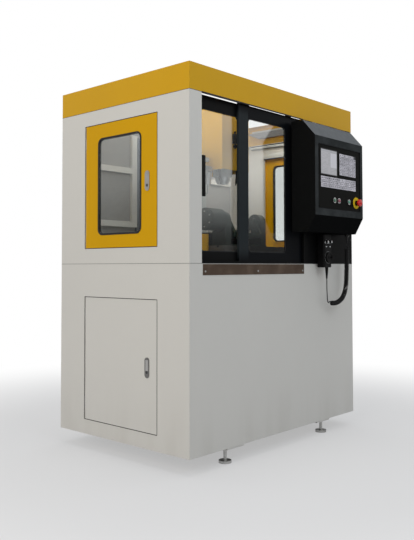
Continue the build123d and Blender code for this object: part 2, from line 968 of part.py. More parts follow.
# Control box, a folded housing with a window for the operator panel
box_profile = [
    (0, control_box_top),
    (control_box_roof_depth, control_box_top),
    (control_box_depth, control_box_face_top),
    (control_box_depth, control_box_face_bottom),
    (control_box_floor_depth, control_box_bottom),
    (0, control_box_bottom),
]
box_outline = [(front_y - out, seam_z + up) for out, up in box_profile]
with BuildPart() as control_box:
    with BuildSketch(Plane.YZ.offset(control_box_left)):
        with BuildLine():
            Polyline(box_outline, close=True)
        make_face()
    extrude(amount=control_box_right - control_box_left)
    with BuildSketch(Plane.YZ.offset(control_box_left + sheet)):
        with BuildLine():
            Polyline(box_outline, close=True)
        make_face()
        offset(amount=-sheet, kind=Kind.INTERSECTION, mode=Mode.REPLACE)
    extrude(amount=control_box_right - control_box_left - 2 * sheet, mode=Mode.SUBTRACT)
    slab(
        (panel_left, panel_right),
        (front_y - control_box_depth, front_y - control_box_depth + sheet),
        (seam_z + panel_bottom, seam_z + panel_top),
        Mode.SUBTRACT,
    )
keep(control_box, "control_box")

# Operator panel with button bezels and the collar of the emergency stop
panel_face = front_y - control_box_depth + sheet
panel_plane = Plane.XZ.offset(-panel_face)
push_buttons = {
    "start_button": panel_left + start_button_inset,
    "stop_button": panel_left + stop_button_inset,
    "program_button": panel_left + program_button_inset,
}
e_stop_x = panel_left + e_stop_inset
e_stop_place = (e_stop_x, seam_z + button_z)
with BuildPart() as operator_panel:
    with BuildSketch(panel_plane):
        with Locations(((panel_left + panel_right) / 2, seam_z + (panel_bottom + panel_top) / 2)):
            Rectangle(panel_right - panel_left + 2 * panel_lap, panel_top - panel_bottom + 2 * panel_lap)
    extrude(amount=-panel_thickness)
    with BuildSketch(panel_plane):
        with Locations([(x, seam_z + button_z) for x in push_buttons.values()]):
            Circle(button_radius + bezel_wall)
            Circle(button_radius + fit, mode=Mode.SUBTRACT)
    extrude(amount=bezel_height)
    with BuildSketch(panel_plane):
        with Locations(e_stop_place):
            Circle(e_stop_plate_radius)
    extrude(amount=e_stop_plate)
    with BuildSketch(panel_plane):
        with Locations(e_stop_place):
            Circle(e_stop_collar)
    extrude(amount=e_stop_collar_height)
    with BuildSketch(panel_plane.offset(e_stop_collar_height)):
        with Locations(e_stop_place):
            Circle(e_stop_stem + fit)
    extrude(amount=-e_stop_collar_height - panel_thickness, mode=Mode.SUBTRACT)
keep(operator_panel, "operator_panel")

# Display behind its glass
with BuildPart() as display_screen:
    slab(
        (screen_left, screen_right),
        (panel_face - screen_thickness, panel_face),
        (seam_z + screen_bottom, seam_z + screen_top),
    )
keep(display_screen, "display_screen")

# Membrane key fields beside and below the display
with BuildPart() as keypad:
    key_fields = (
        (keypad_left, keypad_right, keypad_bottom, keypad_top),
        (screen_left, keypad_right, strip_pad_bottom, strip_pad_top),
    )
    for left, right, bottom, top in key_fields:
        slab((left, right), (panel_face - key_sheet, panel_face), (seam_z + bottom, seam_z + top))
keep(keypad, "keypad")

# Push buttons, each with room behind for its travel
for name, x in push_buttons.items():
    with BuildPart() as push_button:
        with BuildSketch(panel_plane.offset(button_travel + fit)):
            with Locations((x, seam_z + button_z)):
                Circle(button_radius)
        extrude(amount=button_length - button_travel - fit)
    keep(push_button, name)

# Mushroom head of the emergency stop, turned about its stem
head_front = control_box_depth + e_stop_reach - (control_box_depth - sheet)
head_back = e_stop_collar_height + button_travel + fit
with BuildPart() as e_stop_button:
    with BuildSketch(Plane.YZ.offset(e_stop_x)):
        with BuildLine():
            Polyline(
                (panel_face - head_front, seam_z + button_z),
                (panel_face - button_travel - fit, seam_z + button_z),
                (panel_face - button_travel - fit, seam_z + button_z + e_stop_stem),
                (panel_face - head_back, seam_z + button_z + e_stop_stem),
                (panel_face - head_back, seam_z + button_z + e_stop_head),
                (panel_face - head_front + e_stop_crown_drop, seam_z + button_z + e_stop_head),
                (panel_face - head_front, seam_z + button_z + e_stop_crown),
                close=True,
            )
        make_face()
    revolve(axis=Axis((e_stop_x, panel_face, seam_z + button_z), (0, 1, 0)))
keep(e_stop_button, "e_stop_button")

# Pendant housing hung on the hook of the cover plate, with a tapered boot for its cord
pendant_floor = seam_z + pendant_bottom
pendant_face = front_y - pendant_front
boot_place = (gland_x - tail_offset, front_y - tail_front)
with BuildPart() as pendant_housing:
    with BuildSketch(Plane.XY.offset(pendant_floor)):
        with Locations((pendant_centre_x, pendant_face + pendant_depth / 2)):
            RectangleRounded(pendant_width, pendant_depth, pendant_corner)
    extrude(amount=pendant_height)
    rims = pendant_housing.faces().filter_by(Axis.Z)
    chamfer(rims.edges(), pendant_edge)
    with BuildSketch(Plane.XY.offset(pendant_floor)):
        with Locations(boot_place):
            Circle(boot_radius)
    with BuildSketch(Plane.XY.offset(pendant_floor - boot_length)):
        with Locations(boot_place):
            Circle(boot_tip)
    loft()
keep(pendant_housing, "pendant_housing")

# Handwheel and selector knobs on the pendant's face
dial_plane = Plane.XZ.offset(-(pendant_face - handwheel_gap))
with BuildPart() as pendant_handwheel:
    with BuildSketch(dial_plane):
        with Locations((pendant_centre_x, seam_z + handwheel_z)):
            Circle(handwheel_radius)
    extrude(amount=handwheel_height)
    with BuildSketch(dial_plane.offset(handwheel_height)):
        with Locations((pendant_centre_x + crank_knob_offset, seam_z + handwheel_z)):
            Circle(crank_knob_radius)
    extrude(amount=crank_knob_height)
keep(pendant_handwheel, "pendant_handwheel")
for name, x in (("axis_knob", -knob_spread), ("scale_knob", knob_spread)):
    with BuildPart() as knob:
        with BuildSketch(dial_plane):
            with Locations((pendant_centre_x + x, seam_z + knob_z)):
                Circle(knob_radius)
        extrude(amount=knob_height)
    keep(knob, name)


def rail_pair(along_x, offset_from_middle, middle, span, bottom, height, gap=0.0, mode=Mode.ADD):
    """Adds a pair of guide rails, or cuts their channels where a gap and a mode are given."""
    half = rail_width / 2 + gap
    for side in (-1, 1):
        centre = middle + side * offset_from_middle
        across = (centre - half, centre + half)
        z_span = (bottom, bottom + height)
        if along_x:
            slab(span, across, z_span, mode)
        else:
            slab(across, span, z_span, mode)


# Cast bed on the pedestal, ribbed below, with the rails of the Y axis
y_rail_span = (depth(bed_front + y_rail_inset), depth(column_foot_front - rail_end_gap))
with BuildPart() as machine_bed:
    slab(
        (-bed_width / 2, bed_width / 2),
        (depth(bed_front), depth(bed_rear)),
        (pedestal_top, bed_top),
    )
    rail_pair(False, y_rail_x, 0, y_rail_span, bed_top, rail_height)
    bay_width = (bed_width - 3 * bed_rib) / 2
    bay_length = (bed_length - 3 * bed_rib) / 2
    with BuildSketch(Plane.XY.offset(pedestal_top)):
        with Locations((0, depth((bed_front + bed_rear) / 2))):
            with GridLocations(bay_width + bed_rib, bay_length + bed_rib, 2, 2):
                Rectangle(bay_width, bay_length)
    extrude(amount=bed_height - bed_deck, mode=Mode.SUBTRACT)
keep(machine_bed, "machine_bed")

# Hollow column with a flared foot, the rails of the Z axis and the carousel's bracket
with BuildPart() as column:
    foot_outline = (column_foot_width, column_rear - column_foot_front)
    body_outline = (column_body, column_rear - column_front)
    flare_top = bed_top + column_foot_height + column_flare_height
    slab(
        (-column_foot_width / 2, column_foot_width / 2),
        (depth(column_foot_front), depth(column_rear)),
        (bed_top, bed_top + column_foot_height),
    )
    with BuildSketch(Plane.XY.offset(bed_top + column_foot_height)):
        with Locations((0, depth((column_foot_front + column_rear) / 2))):
            Rectangle(*foot_outline)
    with BuildSketch(Plane.XY.offset(flare_top)):
        with Locations((0, depth((column_front + column_rear) / 2))):
            Rectangle(*body_outline)
    loft()
    slab(
        (-column_body / 2, column_body / 2),
        (depth(column_front), depth(column_rear)),
        (flare_top, column_top),
    )
    slab(
        (-column_body / 2 + column_wall, column_body / 2 - column_wall),
        (depth(column_front + column_wall), depth(column_rear - column_wall)),
        (bed_top, column_top - column_wall),
        Mode.SUBTRACT,
    )
    for side in (-1, 1):
        rail_x = side * z_rail_x
        slab(
            (rail_x - rail_width / 2, rail_x + rail_width / 2),
            (depth(column_front - z_rail_proud), depth(column_front)),
            (z_rail_bottom, z_rail_top),
        )
    slab(
        (carrier_left, -column_body / 2 - rail_width),
        (depth(carrier_front), depth(carrier_rear)),
        (carrier_z, carrier_z + carrier_thickness),
    )
    slab(
        (carrier_left, -column_body / 2),
        (depth(carrier_rear - carrier_post_width), depth(carrier_rear)),
        (carrier_z, carrier_z + carrier_thickness),
    )
    with BuildSketch(Plane.XY.offset(carrier_z + carrier_thickness)):
        with Locations((carousel_x, depth(spindle_y))):
            Circle(carrier_motor_radius)
    extrude(amount=carrier_motor_height)
    with BuildSketch(Plane.XY.offset(carrier_z)):
        with Locations((carousel_x, depth(spindle_y))):
            Circle(carousel_shaft + stub_clearance)
    extrude(amount=carousel_shaft_length + fit, mode=Mode.SUBTRACT)
keep(column, "column")

# Saddle on the Y rails, carrying the rails of the X axis
with BuildPart() as saddle:
    saddle_y = (depth(work_y - saddle_depth / 2), depth(work_y + saddle_depth / 2))
    slab((-saddle_width / 2, saddle_width / 2), saddle_y, (saddle_bottom, saddle_top))
    channel_height = bed_top + rail_height + rail_gap - saddle_bottom
    rail_pair(False, y_rail_x, 0, saddle_y, saddle_bottom, channel_height, rail_gap, Mode.SUBTRACT)
    x_rail_span = (-saddle_width / 2, saddle_width / 2)
    rail_pair(True, x_rail_y, depth(work_y), x_rail_span, saddle_top, rail_height)
keep(saddle, "saddle")

# Table with T-slots, running on the saddle
with BuildPart() as table:
    table_x = (-table_width / 2, table_width / 2)
    table_y = (depth(work_y - table_depth / 2), depth(work_y + table_depth / 2))
    slab(table_x, table_y, (table_bottom, table_top))
    channel_height = saddle_top + rail_height + rail_gap - table_bottom
    rail_pair(
        True, x_rail_y, depth(work_y), table_x, table_bottom, channel_height, rail_gap, Mode.SUBTRACT
    )
    for slot_y in (-x_rail_y, 0, x_rail_y):
        centre = depth(work_y) + slot_y
        slab(
            table_x,
            (centre - t_slot_width / 2, centre + t_slot_width / 2),
            (table_top - t_slot_depth, table_top),
            Mode.SUBTRACT,
        )
keep(table, "table")

# Trunnion stand with two bearing supports and the tilt drive on the left
axis_place = (depth(work_y), trunnion_axis_z)
trunnion_outer = trunnion_inner + trunnion_support
with BuildPart() as trunnion_stand:
    slab(
        (-trunnion_outer, trunnion_outer),
        (depth(work_y - trunnion_support_depth / 2), depth(work_y + trunnion_support_depth / 2)),
        (table_top, table_top + trunnion_base),
    )
    for support_left in (-trunnion_outer, trunnion_inner):
        with BuildSketch(Plane.YZ.offset(support_left)):
            with Locations((axis_place[0], (table_top + trunnion_axis_z) / 2)):
                Rectangle(2 * trunnion_round, trunnion_axis_z - table_top)
            with Locations(axis_place):
                Circle(trunnion_round)
        extrude(amount=trunnion_support)
    with BuildSketch(Plane.YZ.offset(-trunnion_outer)):
        with Locations(axis_place):
            Circle(rotary_motor_radius)
    extrude(amount=-rotary_motor_length)
    for mouth, direction in ((-trunnion_inner, -1), (trunnion_inner, 1)):
        with BuildSketch(Plane.YZ.offset(mouth)):
            with Locations(axis_place):
                Circle(stub_radius + stub_clearance)
        extrude(amount=direction * (stub_length + fit), mode=Mode.SUBTRACT)
keep(trunnion_stand, "trunnion_stand")

# Tilting cradle hung between the supports
with BuildPart() as tilting_cradle:
    cradle_y = (depth(work_y - cradle_depth / 2), depth(work_y + cradle_depth / 2))
    cradle_bottom = trunnion_axis_z - cradle_floor_drop
    slab((-cradle_half_width, cradle_half_width), cradle_y, (cradle_bottom, cradle_bottom + cradle_floor))
    for arm_left in (-cradle_half_width, cradle_half_width - cradle_arm):
        with BuildSketch(Plane.YZ.offset(arm_left)):
            with BuildLine():
                Polyline(
                    (axis_place[0] - cradle_depth / 2, cradle_bottom),
                    (axis_place[0] + cradle_depth / 2, cradle_bottom),
                    (axis_place[0] + cradle_depth / 2, cradle_bottom + cradle_floor),
                    (axis_place[0] + cradle_arm_round, trunnion_axis_z),
                    (axis_place[0] - cradle_arm_round, trunnion_axis_z),
                    (axis_place[0] - cradle_depth / 2, cradle_bottom + cradle_floor),
                    close=True,
                )
            make_face()
            with Locations(axis_place):
                Circle(cradle_arm_round)
        extrude(amount=cradle_arm)
    for outer_face, direction in ((-cradle_half_width, -1), (cradle_half_width, 1)):
        with BuildSketch(Plane.YZ.offset(outer_face)):
            with Locations(axis_place):
                Circle(stub_radius)
        extrude(amount=direction * (stub_length + trunnion_inner - cradle_half_width))
    with BuildSketch(Plane.XY.offset(cradle_bottom + cradle_floor)):
        with Locations((0, depth(work_y))):
            Circle(faceplate_shaft + stub_clearance)
    extrude(amount=-faceplate_shaft_length - fit, mode=Mode.SUBTRACT)
keep(tilting_cradle, "tilting_cradle")

# Rotary faceplate with a centre bore and four fixing holes
faceplate_bottom = cradle_bottom + cradle_floor + fit
with BuildPart() as rotary_faceplate:
    with BuildSketch(Plane.XY.offset(faceplate_bottom)):
        with Locations((0, depth(work_y))):
            Circle(faceplate_radius)
    extrude(amount=faceplate_height)
    with BuildSketch(Plane.XY.offset(faceplate_bottom)):
        with Locations((0, depth(work_y))):
            Circle(faceplate_shaft)
    extrude(amount=-faceplate_shaft_length)
    with BuildSketch(Plane.XY.offset(faceplate_bottom + faceplate_height)):
        with Locations((0, depth(work_y))):
            Circle(faceplate_bore)
            with PolarLocations(faceplate_pcd / 2, 4, start_angle=45):
                Circle(faceplate_hole)
    extrude(amount=-faceplate_height, mode=Mode.SUBTRACT)
keep(rotary_faceplate, "rotary_faceplate")

# Spindle head casting on the column rails, with its cartridge
with BuildPart() as spindle_head:
    head_back_y = depth(column_front - head_plate_gap)
    slab(
        (-head_plate_width / 2, head_plate_width / 2),
        (depth(head_plate_front), head_back_y),
        (head_bottom, head_top),
    )
    for side in (-1, 1):
        rail_x = side * z_rail_x
        slab(
            (rail_x - rail_width / 2 - rail_gap, rail_x + rail_width / 2 + rail_gap),
            (depth(column_front - z_rail_proud - rail_gap), head_back_y),
            (head_bottom, head_top),
            Mode.SUBTRACT,
        )
    slab(
        (-head_body_width / 2, head_body_width / 2),
        (depth(head_body_front), depth(head_plate_front)),
        (head_body_bottom, head_top),
    )
    with BuildSketch(Plane.XY.offset(head_body_bottom)):
        with Locations((0, depth(spindle_y))):
            Circle(cartridge_radius)
    extrude(amount=head_bottom - head_body_bottom)
    with BuildSketch(Plane.XY.offset(head_bottom)):
        with Locations((0, depth(spindle_y))):
            Circle(spindle_bore)
    extrude(amount=spindle_top - head_bottom + fit, mode=Mode.SUBTRACT)
keep(spindle_head, "spindle_head")

# Spindle with a tapered mouth, turned about its axis
with BuildPart() as spindle:
    with BuildSketch(Plane.XZ.offset(-depth(spindle_y))):
        with BuildLine():
            Polyline(
                (taper_mouth, spindle_nose_z),
                (spindle_tip, spindle_nose_z),
                (spindle_nose, spindle_nose_z + spindle_tip_rise),
                (spindle_nose, head_bottom - fit),
                (spindle_radius, head_bottom - fit),
                (spindle_radius, spindle_top),
                (0, spindle_top),
                (0, spindle_nose_z + taper_depth),
                (taper_small, spindle_nose_z + taper_depth),
                close=True,
            )
        make_face()
    revolve(axis=Axis((0, depth(spindle_y), 0), (0, 0, 1)))
keep(spindle, "spindle")

# Yellow sheet cover over the spindle head, open below and behind
with BuildPart() as head_cover:
    slab(
        (-cover_width / 2, cover_width / 2),
        (depth(cover_front), depth(cover_rear)),
        (cover_bottom, cover_top),
    )
    cover_faces = head_cover.faces()
    offset(amount=-sheet, openings=[cover_faces.sort_by(Axis.Z)[0], cover_faces.sort_by(Axis.Y)[-1]])
keep(head_cover, "head_cover")

# Tool carousel with its ring of holders, each with a hexagon nut and a tapered nose
with BuildPart() as tool_carousel:
    carousel_place = (carousel_x, depth(spindle_y))
    with BuildSketch(Plane.XY.offset(carousel_z)):
        with Locations(carousel_place):
            Circle(carousel_radius)
    extrude(amount=carousel_thickness)
    with BuildSketch(Plane.XY.offset(carousel_z + carousel_thickness)):
        with Locations(carousel_place):
            Circle(carousel_hub)
    extrude(amount=carrier_z - fit - carousel_z - carousel_thickness)
    with BuildSketch(Plane.XY.offset(carrier_z - fit)):
        with Locations(carousel_place):
            Circle(carousel_shaft)
    extrude(amount=carousel_shaft_length)
    for start_z, length, taper in (
        (carousel_z, holder_nut_height, 0),
        (carousel_z - holder_nut_height, holder_drop - holder_nut_height, holder_taper),
    ):
        with BuildSketch(Plane.XY.offset(start_z)):
            with Locations(carousel_place):
                with PolarLocations(holder_pcd / 2, holder_count):
                    RegularPolygon(holder_flats, 6)
        extrude(amount=-length, taper=taper)
keep(tool_carousel, "tool_carousel")

# Splash tray hung on the lower panels' flanges, with a raised edge round the bed
with BuildPart() as splash_tray:
    tray_floor_z = seam_z - tray_floor_drop
    rim_x = inner_x - fit
    rim_y = (depth(sill_track_end + fit), inner_rear_y - rib_depth - fit)
    slab((-rim_x, rim_x), rim_y, (seam_z, seam_z + sheet))
    wall_x = inner_x - flange - tray_side_gap
    wall_y = (rim_y[0] + tray_wall_inset, rim_y[1] - tray_wall_inset)
    slab((-wall_x, wall_x), wall_y, (tray_floor_z, seam_z + sheet))
    slab(
        (-wall_x + sheet, wall_x - sheet),
        (wall_y[0] + sheet, wall_y[1] - sheet),
        (tray_floor_z + sheet, seam_z + sheet),
        Mode.SUBTRACT,
    )
    hole_x = bed_width / 2 + tray_hole_gap
    hole_y = (depth(bed_front - tray_hole_gap), depth(bed_rear + tray_hole_gap))
    upstand_z = (tray_floor_z, tray_floor_z + tray_upstand)
    slab((-hole_x - sheet, hole_x + sheet), (hole_y[0] - sheet, hole_y[1] + sheet), upstand_z)
    slab((-hole_x, hole_x), hole_y, upstand_z, Mode.SUBTRACT)
keep(splash_tray, "splash_tray")

# Coolant tank with its pump, on the base pan
with BuildPart() as coolant_tank:
    tank_left = left_x + tank_side_gap
    tank_right = -pedestal_width / 2 - tank_inner_gap
    tank_y = (depth(tank_front), depth(cabinet_depth - tank_rear_gap))
    tank_top = pan_floor_z + tank_height
    slab((tank_left, tank_right), tank_y, (pan_floor_z, tank_top))
    slab(
        (tank_left + sheet, tank_right - sheet),
        (tank_y[0] + sheet, tank_y[1] - sheet),
        (pan_floor_z + sheet, tank_top - sheet),
        Mode.SUBTRACT,
    )
    with BuildSketch(Plane.XY.offset(tank_top)):
        with Locations(((tank_left + tank_right) / 2, depth(pump_y))):
            Circle(pump_radius)
    extrude(amount=pump_height)
keep(coolant_tank, "coolant_tank")

# Electrical cabinet, a closed steel box with a door line
with BuildPart() as electrical_cabinet:
    electrics_y = (depth(electrics_front), depth(electrics_front + electrics_length))
    electrics_z = (pan_floor_z, pan_floor_z + electrics_height)
    slab((electrics_left, electrics_right), electrics_y, electrics_z)
    slab(
        (electrics_left + sheet, electrics_right - sheet),
        (electrics_y[0] + sheet, electrics_y[1] - sheet),
        (electrics_z[0] + sheet, electrics_z[1] - sheet),
        Mode.SUBTRACT,
    )
keep(electrical_cabinet, "electrical_cabinet")


def along_front(x, out, up):
    """Point by its X from the gland, distance out from the front plane and height over the seam."""
    return (gland_x + x, front_y - out, seam_z + up)


def bend_radii(points):
    """Radius for each corner of a cord's route, as large as its two runs allow."""
    radii = []
    for before, corner, after in zip(points, points[1:], points[2:]):
        run_in = Vector(*corner) - Vector(*before)
        run_out = Vector(*after) - Vector(*corner)
        half_turn = math.radians(run_in.get_angle(run_out)) / 2
        radii.append(arc_share * min(run_in.length, run_out.length) / math.tan(half_turn))
    return radii


def cord(name, points, radius):
    """Returns a cord's tube along straight runs joined by arcs, and prints its radii."""
    radii = bend_radii(points)
    print(name, "radii", [round(value, 1) for value in radii])
    with BuildPart() as tube:
        with BuildLine() as route:
            FilletPolyline(*points, radius=radii)
        with BuildSketch(Plane(origin=route.line @ 0, z_dir=route.line % 0)):
            Circle(radius)
        sweep()
    length = sum(edge.length for edge in route.edges())
    print(name, "length", round(length, 1))
    print(name, "volume ratio", round(tube.part.volume / (math.pi * radius**2 * length), 4))
    return tube


# Gland under the control box, where the pendant's cord comes out
curly_route = [
    along_front(0, 65, control_box_bottom - gland_height),
    along_front(0, 65, 80),
    along_front(-3, 64, 0),
    along_front(-4, 62, -80),
    along_front(-7, 59, -140),
    along_front(-35, 56, -190),
    along_front(-85, 51, -214),
    along_front(-125, 47, -215),
    along_front(-156, 45, -210.5),
]
with BuildPart() as cord_gland:
    with BuildSketch(Plane.XY.offset(seam_z + control_box_bottom)):
        with Locations(curly_route[0][:2]):
            Circle(gland_radius)
    extrude(amount=-gland_height)
keep(cord_gland, "cord_gland")

# Curly cord as its outer tube, then its thin straight tail up to the pendant
keep(cord("cord_curly", curly_route, curly_radius), "cord_curly")
tail_route = [
    along_front(-156, 45, -210.5),
    along_front(-173, 45.5, -207),
    along_front(-176, 46, -186),
    along_front(-179, 46, -150),
    along_front(-tail_offset, tail_front, -110),
    along_front(-tail_offset, tail_front, pendant_bottom - boot_length),
]
keep(cord("cord_straight", tail_route, straight_radius), "cord_straight")
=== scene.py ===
"""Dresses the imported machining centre: finishes, small fittings, the pendant's cord, light and camera."""

import enum
import logging
import math
from dataclasses import dataclass, field
from typing import Any, Optional, Sequence, Union

import bmesh
import bpy
from mathutils import Matrix, Vector

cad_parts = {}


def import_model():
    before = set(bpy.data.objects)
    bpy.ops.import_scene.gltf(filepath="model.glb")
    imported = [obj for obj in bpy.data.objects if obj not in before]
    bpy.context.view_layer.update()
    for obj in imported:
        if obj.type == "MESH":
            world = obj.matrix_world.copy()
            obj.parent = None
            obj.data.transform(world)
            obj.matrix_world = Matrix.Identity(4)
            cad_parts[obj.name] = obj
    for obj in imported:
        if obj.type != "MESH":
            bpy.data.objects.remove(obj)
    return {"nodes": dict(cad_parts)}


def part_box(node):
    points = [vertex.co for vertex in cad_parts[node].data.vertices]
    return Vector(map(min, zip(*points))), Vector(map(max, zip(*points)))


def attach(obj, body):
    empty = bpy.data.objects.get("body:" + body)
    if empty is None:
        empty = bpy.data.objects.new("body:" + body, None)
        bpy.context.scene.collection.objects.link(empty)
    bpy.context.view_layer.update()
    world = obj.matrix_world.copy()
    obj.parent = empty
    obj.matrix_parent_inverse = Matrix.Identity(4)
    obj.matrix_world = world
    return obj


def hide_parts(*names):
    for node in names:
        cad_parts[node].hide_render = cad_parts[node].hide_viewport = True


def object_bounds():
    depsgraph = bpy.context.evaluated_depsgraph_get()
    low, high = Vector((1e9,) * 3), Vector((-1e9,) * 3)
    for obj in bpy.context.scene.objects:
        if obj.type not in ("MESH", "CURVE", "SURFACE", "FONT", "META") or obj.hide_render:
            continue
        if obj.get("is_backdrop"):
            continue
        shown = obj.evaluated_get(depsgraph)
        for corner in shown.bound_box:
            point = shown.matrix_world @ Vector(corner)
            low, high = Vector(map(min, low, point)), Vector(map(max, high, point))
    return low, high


LOG = logging.getLogger("machining_centre")
TINY = 1e-6
TURN = 2 * math.pi
SMOOTH_UNDER = 38.0

NONE = (0.0, 0.0, 0.0)
UP = (0.0, 0.0, 1.0)
FRONT = (0.0, -1.0, 0.0)
X_AXIS = (1.0, 0.0, 0.0)
Y_AXIS = (0.0, 1.0, 0.0)
SIDES = (("left", -1.0), ("right", 1.0))

Colour = tuple[float, float, float]
Key = Union[int, str]
Operand = Union["Expr", float]
Pair = tuple[float, float]
Point = Sequence[float]


# ---------------------------------------------------------------- node trees


@dataclass(eq=False)
class Expr:
    """A node that is yet to be added to a tree, and takes part in Python arithmetic."""

    kind: str
    settings: dict[str, Any] = field(default_factory=dict)
    inputs: dict[Key, Any] = field(default_factory=dict)
    output: Key = 0

    def math(self, operation: str, *others: Operand) -> "Expr":
        """Returns a Math node with this value first."""
        return Expr("ShaderNodeMath", {"operation": operation}, dict(enumerate((self, *others))))

    def __add__(self, other: Operand) -> "Expr":
        """Returns the sum."""
        return self.math("ADD", other)

    def __mul__(self, other: Operand) -> "Expr":
        """Returns the product."""
        return self.math("MULTIPLY", other)

    def __sub__(self, other: Operand) -> "Expr":
        """Returns the difference."""
        return self.math("SUBTRACT", other)

    def __rsub__(self, other: Operand) -> "Expr":
        """Returns the other value less this one."""
        return self * -1.0 + other

    def __truediv__(self, other: Operand) -> "Expr":
        """Returns the quotient."""
        return self.math("DIVIDE", other)

    def __lt__(self, other: Operand) -> "Expr":
        """Returns 1 where this value is the smaller one."""
        return self.math("LESS_THAN", other)

    def __gt__(self, other: Operand) -> "Expr":
        """Returns 1 where this value is the larger one."""
        return self.math("GREATER_THAN", other)

    def __abs__(self) -> "Expr":
        """Returns the value without its sign."""
        return self.math("ABSOLUTE")

    def fract(self) -> "Expr":
        """Returns what is left of the value above a whole number."""
        return self.math("FRACT")

    def clamp(self) -> "Expr":
        """Returns the value held between 0 and 1."""
        return self.math("MINIMUM", 1.0).math("MAXIMUM", 0.0)

    def rise(self, low: float, high: float) -> "Expr":
        """Returns a smooth step from 0 where the value is low to 1 where it is high."""
        sockets = {"Value": self, "From Min": low, "From Max": high}
        return Expr("ShaderNodeMapRange", {"interpolation_type": "SMOOTHSTEP"}, sockets)

    __radd__ = __add__
    __rmul__ = __mul__


class Graph:
    """Fills a shader or geometry tree from expressions, each of which becomes one node."""

    def __init__(self, tree: bpy.types.NodeTree) -> None:
        """Empties the tree and keeps it.

        Args:
            tree: the tree that is filled.
        """
        tree.nodes.clear()
        self.tree = tree
        self.made: dict[int, bpy.types.Node] = {}

    def add(self, wanted: Expr) -> bpy.types.Node:
        """Adds a node with all that feeds it, its settings before its sockets.

        Args:
            wanted: the node's expression.

        Returns:
            The node.
        """
        if id(wanted) not in self.made:
            made = self.made[id(wanted)] = self.tree.nodes.new(wanted.kind)
            for name, value in wanted.settings.items():
                setattr(made, name, value)
            for key, value in wanted.inputs.items():
                if isinstance(value, Expr):
                    self.tree.links.new(self.add(value).outputs[value.output], made.inputs[key])
                else:
                    made.inputs[key].default_value = value
        return self.made[id(wanted)]


def vectors(operation: str, *operands: Any, output: Key = 0) -> Expr:
    """Returns a Vector Math node."""
    return Expr("ShaderNodeVectorMath", {"operation": operation}, dict(enumerate(operands)), output)


def component(vector: Expr, index: int) -> Expr:
    """Returns one component of a vector."""
    return Expr("ShaderNodeSeparateXYZ", {}, {0: vector}, index)


PLACE = Expr("ShaderNodeTexCoord", output="Object")
X, Y, Z = (component(PLACE, index) for index in range(3))


def plane(first: Expr, second: Expr) -> Expr:
    """Returns a vector of two components."""
    return Expr("ShaderNodeCombineXYZ", {}, {0: first, 2: second})


def hypot(first: Expr, second: Expr) -> Expr:
    """Returns the distance that two offsets make."""
    return vectors("LENGTH", plane(first, second), output="Value")


def noise(scale: float, detail: float = 3.0, rough: float = 0.5, vector: Expr = PLACE) -> Expr:
    """Returns soft noise between 0 and 1."""
    sockets = {"Vector": vector, "Scale": scale, "Detail": detail, "Roughness": rough}
    return Expr("ShaderNodeTexNoise", {}, sockets)


def streaks(stretch: Point, detail: float = 3.0, rough: float = 0.5) -> Expr:
    """Returns soft noise whose scale differs from axis to axis."""
    return noise(1.0, detail, rough, vectors("MULTIPLY", PLACE, tuple(stretch)))


def dice(vector: Expr) -> Expr:
    """Returns a value between 0 and 1 that jumps from cell to cell."""
    cell = vectors("FLOOR", vector)
    return Expr("ShaderNodeTexWhiteNoise", {"noise_dimensions": "3D"}, {"Vector": cell})


def opaque(value: Any) -> Any:
    """Returns a colour with full opacity, and any other value as it is."""
    return (*value, 1.0) if isinstance(value, tuple) and len(value) == 3 else value


def blend(factor: Operand, first: Any, second: Any) -> Expr:
    """Returns a mix of two colours, the first at 0 and the second at 1."""
    sockets = {0: factor, 6: opaque(first), 7: opaque(second)}
    return Expr("ShaderNodeMix", {"data_type": "RGBA"}, sockets, 2)


def shade_of(colour: Colour, factor: float) -> Colour:
    """Returns a darker or lighter shade of a colour."""
    return tuple(min(1.0, part * factor) for part in colour)


def tones(factor: Operand, colour: Colour, low: float, high: float) -> Expr:
    """Returns shades of a colour, the low one at 0 and the high one at 1."""
    return blend(factor, shade_of(colour, low), shade_of(colour, high))


def bump(height: Expr, strength: float, distance: float) -> Expr:
    """Returns a normal that is disturbed by a height."""
    return Expr("ShaderNodeBump", {}, {"Strength": strength, "Distance": distance, "Height": height})


def surface(**sockets: Any) -> Expr:
    """Returns a Principled shader from its sockets by name, with _ for a space."""
    named = {name.replace("_", " "): opaque(value) for name, value in sockets.items()}
    return Expr("ShaderNodeBsdfPrincipled", {}, named)


def layered(share: Expr, first: Expr, second: Expr) -> Expr:
    """Returns a mix of two shaders, the first at 0 and the second at 1."""
    return Expr("ShaderNodeMixShader", {}, {0: share, 1: first, 2: second})


def ray(kind: str) -> Expr:
    """Returns 1 for rays of one kind."""
    return Expr("ShaderNodeLightPath", output=f"Is {kind} Ray")


def seen() -> Expr:
    """Returns 1 for what the camera sees, straight, mirrored or through a pane."""
    return sum(ray(kind) for kind in ("Camera", "Glossy", "Transmission")).clamp()


# ---------------------------------------------------------------- finishes


@dataclass(frozen=True)
class Finish:
    """A surface finish, and the record's slot of the pieces that wear it where that isn't its label."""

    label: str
    slot: str = field(default="", kw_only=True)

    def shade(self) -> Expr:
        """Returns the finish's shader."""
        raise NotImplementedError(self.label)

    def material(self) -> bpy.types.Material:
        """Makes the finish's material once.

        Returns:
            The material.
        """
        name = "finish." + self.label
        made = bpy.data.materials.get(name)
        if made is None:
            made = bpy.data.materials.new(name)
            made.use_nodes = True
            Graph(made.node_tree).add(Expr("ShaderNodeOutputMaterial", {}, {"Surface": self.shade()}))
        return made


